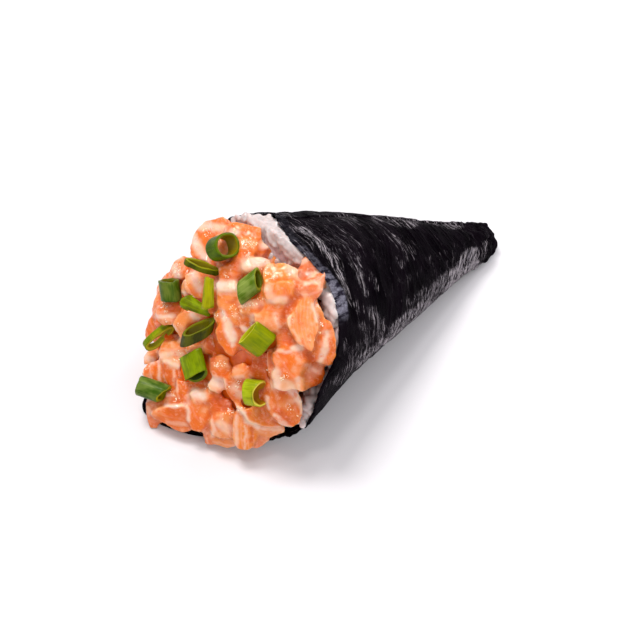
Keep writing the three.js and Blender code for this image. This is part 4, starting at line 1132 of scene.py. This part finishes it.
    # which cut each point belongs to, and how far under the heap's outline it lies
    whole = BVHTree.FromPolygons([Vector(v) for v in verts], tris.tolist())
    own = np.zeros(count, int)
    under = np.zeros(count)
    for k in range(count):
        q = Vector(co[k])
        own[k] = owner[whole.find_nearest(q)[2]]
        near, nn, _, _ = salmon_tree.find_nearest(q)
        under[k] = -(q - near).dot(nn)
    mid_c = np.array([linear(TONES[k[0]][0]) for k in kinds]) * (1 + gen.uniform(-0.07, 0.07, (len(kinds), 1)))
    pale_c = np.array([linear(TONES[k[0]][1]) for k in kinds])
    base, light = soften(mid_c[own], 2), soften(pale_c[own], 2)
    blot = noise(co * 0.2, 31) * 0.6 + noise(co * 0.5, 32) * 0.4
    # paler on the edges: painted light where the edges catch it and glow through, partly whitish film; random blots add
    # more
    pale = ramp(ridge, 0.05, 0.5) * 0.6 + ramp(blot, 0.0, 0.8) * 0.45
    pale = np.clip(pale, 0, 0.85)[:, None]
    colour = base * (1 - pale) + light * pale
    patch = noise(co * 0.42, 33) * 0.6 + noise(co * 1.0, 34) * 0.4
    rich, milky = ramp(-patch, 0.05, 0.6)[:, None] * 0.55, ramp(patch, 0.15, 0.65)[:, None] * 0.4
    colour = colour * (1 - rich) + linear((226, 92, 6)) * rich
    colour = colour * (1 - milky) + linear((243, 182, 154)) * milky
    px = pixel(co)
    facing = ramp((nrm @ back), 0.0, 0.35) * ramp(-under, -5.0, -3.0)
    wav = np.stack([noise(co * 0.35, 51), noise(co * 0.35, 52)], 1) * 1.6 + np.stack([noise(co * 1.1, 53), noise(co * 1.1, 54)], 1) * 0.6

    def strokes(table):
        total = np.zeros(count)
        for x0, y0, x1, y1, w, amount in table:
            a, d = np.array([x0, y0], float), np.array([x1 - x0, y1 - y0], float)
            t = np.clip(((px + wav - a) @ d) / max(d @ d, 1e-6), 0, 1)
            dist = np.linalg.norm(px + wav - a - t[:, None] * d, axis=1)
            total = np.maximum(total, amount * (1 - ramp(dist, w * 0.3, w * 1.65)))
        return total * facing

    # white: fat films, some of them painted sheen and highlights; dark: painted shade in the hollows
    white = strokes(FILMS_AND_SHEEN)[:, None]
    dark = strokes(HOLLOW_SHADE)[:, None]
    away = 1 - ramp((nrm @ back), -0.25, 0.15)
    loose = (ramp(noise(co * [0.22, 0.22, 0.22], 61), 0.35, 0.6) * 0.7 * away)[:, None]
    white = np.maximum(white, loose)
    # more painted shade: darker the deeper a point lies under the heap's outline, and in the creases
    dark = np.maximum(dark, ramp(under, 1.8, 5.5)[:, None] * 0.9)
    dark = np.maximum(dark, ramp(-ridge, 0.05, 0.45)[:, None] * 0.85)
    dark = dark * (1 - white * 0.6)
    colour = colour * (1 - white) + linear((240, 203, 194)) * white
    colour = colour * (1 - dark * 0.85) + linear((206, 78, 0)) * dark * 0.85
    mid = np.array([f[0] for f in frames])[own]
    lx = np.array([f[1] for f in frames])[own]
    ly = np.array([f[2] for f in frames])[own]
    rel = co - mid
    grain = np.stack([(rel * lx).sum(1), (rel * ly).sum(1), (rel * np.cross(lx, ly)).sum(1)], 1)
    fat = np.array([[k[1], k[2], k[3]] for k in kinds])[own]
    fat[:, 1] *= 1 - dark[:, 0]
    me.attributes.new("tone", "FLOAT_COLOR", "POINT").data.foreach_set("color", np.concatenate([np.clip(colour, 0, 1), np.ones((count, 1))], 1).astype(np.float32).ravel())
    me.attributes.new("grain", "FLOAT_VECTOR", "POINT").data.foreach_set("vector", grain.astype(np.float32).ravel())
    me.attributes.new("fat", "FLOAT_VECTOR", "POINT").data.foreach_set("vector", fat.astype(np.float32).ravel())
    print("salmon faces", len(me.polygons))
    return finish(ob, salmon_mat, "salmon", "salmon")


salmon = build_salmon()
core = remeshed("salmon_core", "salmon", 1.6, 0.6, 10)
me = core.data
co = np.empty(len(me.vertices) * 3, np.float32)
me.vertices.foreach_get("co", co)
co = co.reshape(-1, 3) / MM
heart = co[((co - APEX) @ AXIS) > 105].mean(0) - AXIS * 8
me.vertices.foreach_set("co", ((heart + (co - heart) * 0.84) * MM).astype(np.float32).ravel())
me.update()
finish(core, salmon_core_mat, "salmon", "salmon")


# ---- rice ------------------------------------------------------------------------------------
def tucked(co):
    """Points of the rice kept behind the sheet's edge, low on the near side."""
    rel = co - APEX
    t = rel @ AXIS
    phi = np.degrees(np.arctan2(rel @ RISE, rel @ SIDE))
    most = (sheet_end(phi) - 3.2) * math.cos(ALPHA)
    over = np.maximum(t - most, 0) * ramp(phi, -84, -74) * (1 - ramp(phi, -40, -30))
    return APEX + rel * (1 - over / np.maximum(t, 1.0))[:, None]


def inside(co):
    """Points of the rice kept under the sheet wherever the sheet covers them."""
    rel = co - APEX
    t, u, w = rel @ AXIS, rel @ SIDE, rel @ RISE
    phi = np.degrees(np.arctan2(w, u))
    s = t / math.cos(ALPHA)
    skin = cone(s, phi, 0.45) - APEX
    r = np.hypot(u, w)
    over = np.maximum(r - np.hypot(skin @ SIDE, skin @ RISE), 0) * (s < sheet_end(phi) - 0.3)
    out = unit(u[:, None] * SIDE + w[:, None] * RISE + 1e-9)
    return co - over[:, None] * out


def build_rice():
    gen = np.random.default_rng(11)
    lat, lon = 7, 9
    th = np.linspace(0, math.pi, lat + 1)[1:-1]
    ph = np.linspace(0, 2 * math.pi, lon, endpoint=False)
    body = np.stack([
        np.repeat(np.cos(th), lon),
        np.outer(np.sin(th), np.cos(ph)).ravel(),
        np.outer(np.sin(th), np.sin(ph)).ravel(),
    ], 1)
    v = np.concatenate([body, [[1, 0, 0], [-1, 0, 0]]])
    q = grid_faces(lat - 1, lon)
    tri = np.concatenate([q[:, [0, 2, 1]], q[:, [0, 3, 2]]])
    j = np.arange(lon)
    k = (j + 1) % lon
    top = np.stack([np.full(lon, len(body)), j, k], 1)
    last = (lat - 2) * lon
    bottom = np.stack([np.full(lon, len(body) + 1), last + k, last + j], 1)
    f = np.concatenate([tri, top, bottom])
    heap = Heap()
    p, n = surface_points("rice", 26000, 6)
    keep = ((p - APEX) @ AXIS) > 96
    p, n = p[keep], n[keep]
    keep = open_air(p, n, [nori_tree], 1.6) & (open_air(p, n, [salmon_tree], 1.6) | ((p[:, 2] < 14) & (((p - APEX) @ AXIS) > 106)))
    p, n = p[keep], n[keep]
    seen = np.zeros(len(p), bool)
    for i in range(len(p)):
        d = eye - p[i]
        seen[i] = all(t.ray_cast(Vector(p[i] + n[i] * 0.2), Vector(unit(d)), 80)[0] is None for t in (rice_tree, nori_tree, salmon_tree))
    px = pixel(p)
    keep = ~seen
    for poly in RICE_SEEN:
        keep |= within(px, poly)
    p, n = p[keep], n[keep]
    p = tucked(p)
    kept = thinned(p, 1.6)
    for i in kept:
        L = gen.uniform(2.2, 2.75)
        W = L * gen.uniform(0.42, 0.5)
        z = unit(n[i] + 0.35 * gen.normal(size=3))
        x = unit(np.cross(z, gen.normal(size=3)) + 0.3 * gen.normal(size=3) * z)
        y = np.cross(z, x)
        g0 = v * [L, W, W * 0.92]
        g0[:, 2] += 0.35 * (g0[:, 0] / L) ** 2 * gen.uniform(-1, 1)
        g0 = g0 * (1 + 0.06 * noise(v * 1.7 + gen.integers(99), 5)[:, None])
        c = p[i] + n[i] * gen.uniform(-0.9, 0.2)
        near = nori_tree.find_nearest(Vector(c))
        gap = np.linalg.norm(c - np.array(near[0]))
        if gap < 1.7:
            c = c + unit(c - np.array(near[0])) * (1.7 - gap)
        tone = linear((228, 216, 219)) * gen.uniform(0.88, 1.06)
        heap.add(c + g0[:, :1] * x + g0[:, 1:2] * y + g0[:, 2:] * z, f, tone=np.append(np.clip(tone, 0, 1), 1.0))
    # grains that stand proud: where they are seen, how they lie there, how far out of the rice, how big
    def grain(c, along, size, plump):
        # none stands out past the sheet it lies in
        rel = c - APEX
        t, (u, w) = rel @ AXIS, (rel @ SIDE, rel @ RISE)
        phi = math.degrees(math.atan2(w, u))
        skin = cone(min(t / math.cos(ALPHA), float(sheet_end(phi))), phi) - APEX
        past = math.hypot(u, w) - math.hypot(skin @ SIDE, skin @ RISE) + size * plump + 0.2
        if past > 0:
            c = c - past * unit(u * SIDE + w * RISE)
        ax = unit(along + 0.2 * gen.normal(size=3))
        az = unit(back - ax * (back @ ax))
        ay = np.cross(az, ax)
        g0 = v * [size, size * plump, size * plump]
        heap.add(c + g0[:, :1] * ax + g0[:, 1:2] * ay + g0[:, 2:] * az, f, tone=np.append(linear((228, 216, 219)), 1.0))

    for x, y, turn_px, lift, size in (
        (323, 293, 60, 4.6, 2.4), (328, 297, 20, 5.0, 2.5), (322, 301, 80, 4.8, 2.4), (328, 304, 40, 5.4, 2.6), (332, 301, 70, 4.6, 2.3),
        (325, 309, 30, 4.6, 2.5), (331, 309, 75, 5.0, 2.5), (334, 313, 60, 3.8, 2.2), (328, 315, 20, 4.2, 2.4), (332, 318, 75, 3.2, 2.2),
        (331, 323, 60, 2.2, 2.1), (308, 388, 30, 4.2, 2.3), (313, 391, 80, 2.4, 2.2), (308, 395, 70, 1.8, 2.3), (313, 398, 20, 3.4, 2.3),
        (309, 401, 60, 4.2, 2.4), (313, 405, 70, 1.6, 2.2), (307, 407, 20, 3.6, 2.4), (311, 411, 75, 2.8, 2.2), (306, 414, 60, 1.8, 2.3),
        (308, 419, 30, 3.2, 2.3), (303, 422, 70, 2.4, 2.2), (306, 426, 20, 1.4, 2.0),
        (284, 235, 40, 0.8, 2.3), (288, 240, 80, 1.2, 2.3), (284, 243, 10, 1.3, 2.3), (292, 243, 60, 1.1, 2.3), (290, 249, 20, 1.6, 2.3),
        (295, 248, 70, 1.2, 2.3), (295, 254, 10, 1.5, 2.3), (299, 253, 50, 1.2, 2.2), (298, 259, 80, 1.4, 2.2), (302, 257, 40, 1.2, 2.1),
        (292, 257, 30, 1.3, 2.2), (287, 252, 70, 1.1, 2.2), (280, 240, 75, 1.0, 2.2), (280, 231, 20, 0.8, 2.3), (275, 226, 70, 0.9, 2.3),
        (271, 232, 30, 1.0, 2.2), (276, 237, 60, 0.9, 2.2), (267, 224, 10, 0.9, 2.3), (236, 217, 10, 0.6, 2.1), (244, 216, 0, 0.4, 2.1),
        (250, 218, 30, 0.6, 2.1), (230, 218, 20, 0.4, 2.0),
    ):
        got = hit([rice_tree], x, y)
        if got is None or np.linalg.norm(got[0] - eye) > 520:
            print("no rice under grain at", x, y)
            continue
        for deep in np.arange(0, max(lift, 0.1), 1.2):
            t = math.radians(turn_px + 40 * deep)
            grain(got[0] + back * (lift - 0.6 - deep), math.cos(t) * right - math.sin(t) * up, size * gen.uniform(0.92, 1.05), 0.56)
    ob = heap.object("rice_grains")
    m = ob.modifiers.new("joined", "REMESH")
    m.mode, m.voxel_size = "VOXEL", 0.4 * MM
    m = ob.modifiers.new("soft", "SMOOTH")
    m.factor, m.iterations = 0.5, 3
    me = bpy.data.meshes.new_from_object(ob.evaluated_get(bpy.context.evaluated_depsgraph_get()))
    ob.modifiers.clear()
    old, ob.data = ob.data, me
    bpy.data.meshes.remove(old)
    co = np.empty(len(me.vertices) * 3, np.float32)
    me.vertices.foreach_get("co", co)
    co = co.reshape(-1, 3).astype(float) / MM
    co = inside(co)
    co[:, 2] = np.maximum(co[:, 2], 0.4)
    me.vertices.foreach_set("co", (co * MM).astype(np.float32).ravel())
    me.polygons.foreach_set("use_smooth", np.ones(len(me.polygons), bool))
    cloud = noise(co * 0.35, 71) * 0.5 + noise(co * 0.9, 72) * 0.5
    tone = linear((187, 174, 173)) * (1 + 0.3 * cloud[:, None])
    me.attributes.new("tone", "FLOAT_COLOR", "POINT").data.foreach_set("color", np.concatenate([np.clip(tone, 0, 1), np.ones((len(co), 1))], 1).astype(np.float32).ravel())
    print("grains", len(kept), "faces", len(me.polygons))
    return finish(ob, rice_mat, "rice", "rice")


rice = build_rice()
rice_core = remeshed("rice_core", "rice", 1.3, 0.6, 3)
me = rice_core.data
co = np.empty(len(me.vertices) * 3, np.float32)
me.vertices.foreach_get("co", co)
me.vertices.foreach_set("co", (inside(tucked(co.reshape(-1, 3).astype(float) / MM)) * MM).astype(np.float32).ravel())
me.update()
finish(rice_core, rice_core_mat, "rice", "rice")

# ---- beads: painted glints -------------------------------------------------------------------
def build_beads():
    """Small beads in clusters on the cuts, whose cream-white colour is painted glints."""
    gen = np.random.default_rng(4)
    me = salmon.data
    co = np.empty(len(me.vertices) * 3, np.float32)
    me.vertices.foreach_get("co", co)
    skin = BVHTree.FromPolygons([Vector(c) for c in co.reshape(-1, 3) / MM], [tuple(q.vertices) for q in me.polygons])
    bpy.ops.mesh.primitive_ico_sphere_add(subdivisions=2, radius=1.0)
    ball = bpy.context.object
    v = np.array([q.co[:] for q in ball.data.vertices])
    f = np.array([q.vertices[:] for q in ball.data.polygons])
    bpy.data.objects.remove(ball)
    heap = Heap()
    for x, y, spread, count in (
        (207, 229, 3, 8), (209, 233, 1.5, 3), (233, 232, 4, 10), (246, 241, 5, 14), (252, 245, 4, 12), (248, 254, 4, 8), (248, 261, 2.5, 7),
        (262, 240, 2, 4), (175, 267, 4, 14), (176, 273, 3, 9), (180, 268, 4, 6), (187, 283, 3, 6), (182, 295, 2, 5), (163, 306, 4, 10),
        (166, 311, 2.5, 5), (166, 322, 2, 4), (177, 324, 2, 3), (215, 316, 3, 5), (223, 315, 3, 5), (241, 310, 4, 9), (235, 313, 4, 9),
        (232, 308, 4, 6), (252, 303, 5, 12), (246, 306, 4, 7), (284, 376, 3, 9), (282, 379, 2, 5), (287, 377, 1.5, 3), (238, 382, 2, 7),
        (237, 387, 1.6, 6), (291, 409, 3, 6), (297, 416, 1.5, 3), (220, 362, 4, 12), (216, 366, 3, 6), (224, 364, 3, 5), (172, 393, 2, 4),
        (176, 400, 3, 5), (207, 388, 3, 5), (195, 392, 2, 5), (231, 411, 3, 7), (238, 409, 3, 7), (223, 419, 1.5, 3), (147, 368, 3, 7),
        (145, 356, 2.5, 5), (189, 349, 4, 7), (182, 352, 3, 4), (272, 278, 2, 5), (264, 272, 4, 6), (289, 273, 3, 4), (240, 296, 2, 4),
        (262, 298, 3, 5), (322, 326, 2.5, 6), (320, 332, 2, 3), (312, 340, 2, 3), (268, 371, 1.5, 2), (228, 388, 1.6, 3), (250, 231, 5, 4),
        (205, 236, 3, 4), (225, 277, 4, 6), (196, 283, 3, 3), (251, 326, 3, 5), (290, 318, 2, 2),
    ):
        for _ in range(int(count * 1.3)):
            d = Vector(sight(x + gen.normal() * spread * 0.7, y + gen.normal() * spread * 0.6))
            p, n, _, _ = skin.ray_cast(Vector(eye), d)
            if p is None or n.dot(-d) < 0.15:
                continue
            n = unit(n)
            a = unit(np.cross(n, gen.normal(size=3)))
            b = np.cross(n, a)
            r = gen.uniform(0.1, 0.1 + 0.17 * gen.random())
            w = v * [r * gen.uniform(0.9, 1.5), r, r * 0.7]
            heap.add(np.array(p) + n * r * 0.15 + w[:, :1] * a + w[:, 1:2] * b + w[:, 2:] * n, f)
    ob = heap.object("glaze_beads")
    g = Graph("painted_glint")
    tint = g.noise(g.where(), 300.0, 2.0)
    mat = g.set(
        # cream-white: painted glints, brighter than the flesh around them
        Base_Color=g.mix(g.step(tint, 0.3, 0.7), rgb(255, 214, 160), rgb(255, 246, 226)),
        Roughness=0.12,
        Specular_IOR_Level=0.6,
        Coat_Weight=1.0,
        Coat_Roughness=0.04,
    )
    print("beads faces", len(ob.data.polygons))
    return finish(ob, mat, "salmon")


beads = build_beads()

# ---- spring onion ----------------------------------------------------------------------------
# at, bore, flattened side, half width and thickness, length, slant of the near and far cut, arc of wall
CUTS = [
    ((-6.8, -37.6, 60.9), (0.64, 0.26, 0.73), (0.77, -0.20, -0.60), (4.9, 4.0), 5.4, 0, 360),
    ((-9.6, -44.0, 53.5), (-0.08, 0.40, 0.92), (0.61, -0.70, 0.36), (5.9, 2.3), 1.8, 0, 360),
    ((-19.4, -50.0, 37.2), (-0.67, 0.32, 0.67), (-0.26, -0.95, 0.19), (4.3, 3.3), 6.6, 0.15, 360),
    ((-2.1, -46.3, 49.5), (-0.54, 0.45, 0.71), (-0.07, -0.86, 0.50), (2.9, 2.3), 10.0, 0, 150),
    ((-5.2, -49.3, 42.2), (0.89, 0.44, -0.15), (0.45, -0.75, 0.48), (2.4, 2.0), 10.4, 0, 170),
    ((8.5, -38.8, 57.5), (0.24, 0.78, 0.58), (0.10, -0.61, 0.78), (3.4, 3.0), 7.0, 0.55, 360),
    ((-17.2, -56.8, 20.6), (0.96, -0.20, 0.20), (-0.26, -0.38, 0.89), (6.0, 2.6), 2.4, 0, 360),
    ((0.2, -53.2, 37.3), (-0.01, 0.23, 0.97), (0.65, -0.73, 0.18), (4.6, 3.4), 4.7, -1.0, 360),
    ((20.0, -44.5, 47.0), (-0.72, -0.44, 0.54), (0.66, -0.69, 0.31), (4.9, 2.8), 7.4, 0, 360),
    ((1.8, -56.2, 25.0), (0.80, -0.27, -0.53), (0.01, -0.88, 0.47), (4.9, 2.6), 7.4, -0.1, 360),
    ((-5.1, -67.8, 13.1), (0.84, 0.54, -0.07), (0.51, -0.82, -0.24), (3.7, 3.3), 10.0, 0, 360),
    ((26.4, -50.2, 31.1), (0.80, 0.55, 0.22), (0.48, -0.82, 0.31), (4.4, 3.6), 5.8, 0, 360),
]
LOOKS = {
    # outer skin, darker patches, inner skin, cut rim, wall, how narrow each end is
    1: ((78, 102, 0), (52, 72, 0), (122, 104, 0), (88, 100, 0), 0.95, (1, 1)),
    2: ((88, 92, 0), (52, 58, 0), (124, 112, 0), (140, 140, 8), 1.1, (1, 1)),
    # 3: the grey-green of the outer skin is partly painted reflection
    3: ((94, 108, 36), (54, 80, 2), (92, 92, 0), (84, 104, 4), 1.0, (1, 1)),
    4: ((150, 148, 0), (120, 118, 0), (156, 150, 4), (170, 164, 20), 0.9, (1.0, 0.75), (0.3, 0.2)),
    5: ((126, 146, 0), (92, 100, 0), (140, 140, 2), (190, 184, 50), 0.9, (1.2, 0.6), (1.5, 0.5)),
    # 6: the grey-green of the outer skin is partly painted reflection
    6: ((122, 138, 62), (72, 98, 4), (84, 92, 2), (132, 146, 34), 1.0, (1, 1)),
    7: ((128, 138, 0), (92, 112, 0), (150, 146, 6), (176, 166, 44), 1.3, (1, 1)),
    8: ((80, 82, 0), (48, 50, 0), (110, 104, 2), (104, 110, 6), 1.0, (1, 1)),
    9: ((134, 142, 0), (108, 124, 0), (168, 168, 8), (192, 192, 54), 0.95, (1, 1)),
    # 10: the near black inner skin is painted shade inside the tube
    10: ((130, 150, 0), (98, 118, 0), (38, 54, 0), (92, 106, 6), 1.0, (1, 1)),
    # 11: the grey-green of the outer skin is partly painted reflection
    11: ((104, 124, 50), (50, 82, 2), (158, 148, 2), (166, 166, 16), 1.1, (1, 1)),
    12: ((160, 172, 24), (130, 142, 2), (168, 116, 14), (222, 208, 80), 0.85, (1, 1)),
}


def build_onion(i, cut):
    at, axis, flat, (a, b), length, slant, arc = cut
    z = unit(axis)
    y = np.asarray(flat, float)
    y = unit(y - z * (y @ z))
    x = np.cross(y, z)
    wall = LOOKS[i][4]
    seed = 40 + i
    full = arc == 360
    cols = 72 if full else 30
    if full:
        t = np.linspace(0, 2 * math.pi, cols, endpoint=False)
    else:
        t = np.radians(np.linspace(90 - arc / 2, 90 + arc / 2, cols))
    # profile round the wall: outer skin up, over the cut rim, inner skin down, back over the other cut
    L = length / 2
    m = 9
    prof = [(0.0, z0) for z0 in np.linspace(-L + 0.12, L - 0.12, m)]
    prof += [(0.14, L - 0.03), (0.5, L), (0.86, L - 0.03)]
    prof += [(1.0, z0) for z0 in np.linspace(L - 0.12, -L + 0.12, m)]
    prof += [(0.86, -L + 0.03), (0.5, -L), (0.14, -L + 0.03)]
    depth = np.array([q[0] for q in prof])
    along = np.array([q[1] for q in prof])
    D, T = np.meshgrid(depth, t, indexing="ij")
    Z = np.broadcast_to(along[:, None], D.shape)
    wob = np.stack([np.cos(T) * 1.3 + seed, np.sin(T) * 1.3, Z * 0.12], -1)
    swell = 1 + 0.05 * noise(wob, seed)
    thick = wall * (1 + 0.18 * noise(wob * 1.4 + 5, seed))
    ends = LOOKS[i][5]
    swell = swell * (ends[0] + (ends[1] - ends[0]) * (Z / length + 0.5))
    if not full:  # the cut ends of a strip run out towards its middle
        off = ((T - math.pi / 2) / (math.radians(arc) / 2)) ** 2
        low, high = LOOKS[i][6]
        Z = Z + off * np.where(Z < 0, low, -high) * np.clip(np.abs(Z) / L, 0, 1) ** 3 * 2.0
    X = (a * swell - thick * D) * np.cos(T)
    Y = (b * swell - thick * D) * np.sin(T)
    if i == 10:  # cut askew: the far wall runs out past the near one
        far = np.clip(-Y / b - 0.1, 0, 1) * ramp(Z, 0, L)
        Z, Y = Z + 2.2 * far, Y + 0.8 * far
    if i == 11:
        Z = Z - 2.6 * np.clip(Y / b + 0.2, 0, 1) * ramp(Z, 0, L)
    if i == 12:
        Z = Z - 2.2 * np.clip(Y / b + 0.2, 0, 1) * ramp(Z, 0, L)
    Z = Z + slant * X + 0.16 * noise(np.stack([np.cos(T) * 2.2, np.sin(T) * 2.2, np.sign(Z) * 3.0 + seed], -1), seed)
    verts = np.asarray(at, float) + X[..., None] * x + Y[..., None] * y + Z[..., None] * z
    verts[..., 2] = np.maximum(verts[..., 2], 0.3)
    R = (a + b) / 2
    leaf = np.stack([Z + 9.0 * i, T * R, D], -1)
    rows = len(prof)
    if full:
        faces = grid_faces(rows, cols)
        close = np.stack([(rows - 1) * cols + np.arange(cols), (rows - 1) * cols + (np.arange(cols) + 1) % cols, (np.arange(cols) + 1) % cols, np.arange(cols)], 1)
        faces = np.concatenate([faces, close])[:, ::-1]
    else:
        # a strip: the profile is a closed loop, and the two long edges are capped
        ii = np.arange(rows)[:, None]
        jj = np.arange(cols - 1)[None, :]
        nx = (ii + 1) % rows
        faces = np.stack([ii * cols + jj, ii * cols + jj + 1, nx * cols + jj + 1, nx * cols + jj], -1).reshape(-1, 4)[:, ::-1]
        caps = []
        for k in range(1, rows // 2):
            a0, a1, b1, b0 = k - 1, k, rows - 1 - k, (rows - k) % rows
            caps.append([a0 * cols, a1 * cols, b1 * cols, b0 * cols])
            e = cols - 1
            caps.append([b0 * cols + e, b1 * cols + e, a1 * cols + e, a0 * cols + e])
        faces = np.concatenate([faces, np.array(caps)])
    ob = make("onion_%02d" % i, verts.reshape(-1, 3), faces, {"leaf": leaf.reshape(-1, 3)})
    outer, dark, inner, rim_c = (rgb(*c) for c in LOOKS[i][:4])
    mat = onion_material("onion_skin_%02d" % i, outer, dark, inner, rim_c)
    return finish(ob, mat, "spring_onion", "spring_onion_%02d" % i)


for i, cut in enumerate(CUTS, 1):
    build_onion(i, cut)

# ---- floor, light ----------------------------------------------------------------------------
floor = make("floor", [[-3000, -3000, 0], [3000, -3000, 0], [3000, 3000, 0], [-3000, 3000, 0]], [[0, 1, 2, 3]], smooth=False)
floor.location.z = -0.00005
g = Graph("floor_plain")
floor.data.materials.append(g.set(Base_Color=rgb(221, 219, 224), Roughness=0.24, Specular_IOR_Level=0.4))

world = bpy.data.worlds.new("studio")
bpy.context.scene.world = world
world.use_nodes = True
world.node_tree.nodes["Background"].inputs[0].default_value = (1.0, 0.985, 0.975, 1.0)
world.node_tree.nodes["Background"].inputs[1].default_value = 0.56


def softbox(name, place_mm, target_mm, size, watts, colour=(1, 1, 1)):
    light = bpy.data.lights.new(name, "AREA")
    light.shape, light.size, light.size_y = "RECTANGLE", size[0], size[1]
    light.energy, light.color = watts, colour
    ob = bpy.data.objects.new(name, light)
    bpy.context.scene.collection.objects.link(ob)
    ob.location = Vector(place_mm) * MM
    ob.rotation_euler = (Vector(target_mm) - Vector(place_mm)).to_track_quat("-Z", "Y").to_euler()
    return ob


aim = np.array([0.0, -20.0, 25.0])
softbox("key", aim - 160 * right + 540 * up + 450 * back, aim, (0.24, 0.24), 3.95, (1.0, 0.98, 0.95))
softbox("glint", aim - 60 * right + 330 * up + 620 * back, aim, (0.09, 0.09), 0.7, (1.0, 0.98, 0.95))
softbox("rear", aim + 520 * right + 420 * up - 60 * back, aim, (0.5, 0.16), 2.6, (0.98, 0.98, 1.0))
softbox("fill", aim + 60 * right - 160 * up + 640 * back, aim, (0.6, 0.4), 1.1, (1.0, 0.99, 0.97))

view = bpy.context.scene.view_settings
view.view_transform = "Standard"
view.look = "None"
view.exposure = 0.0
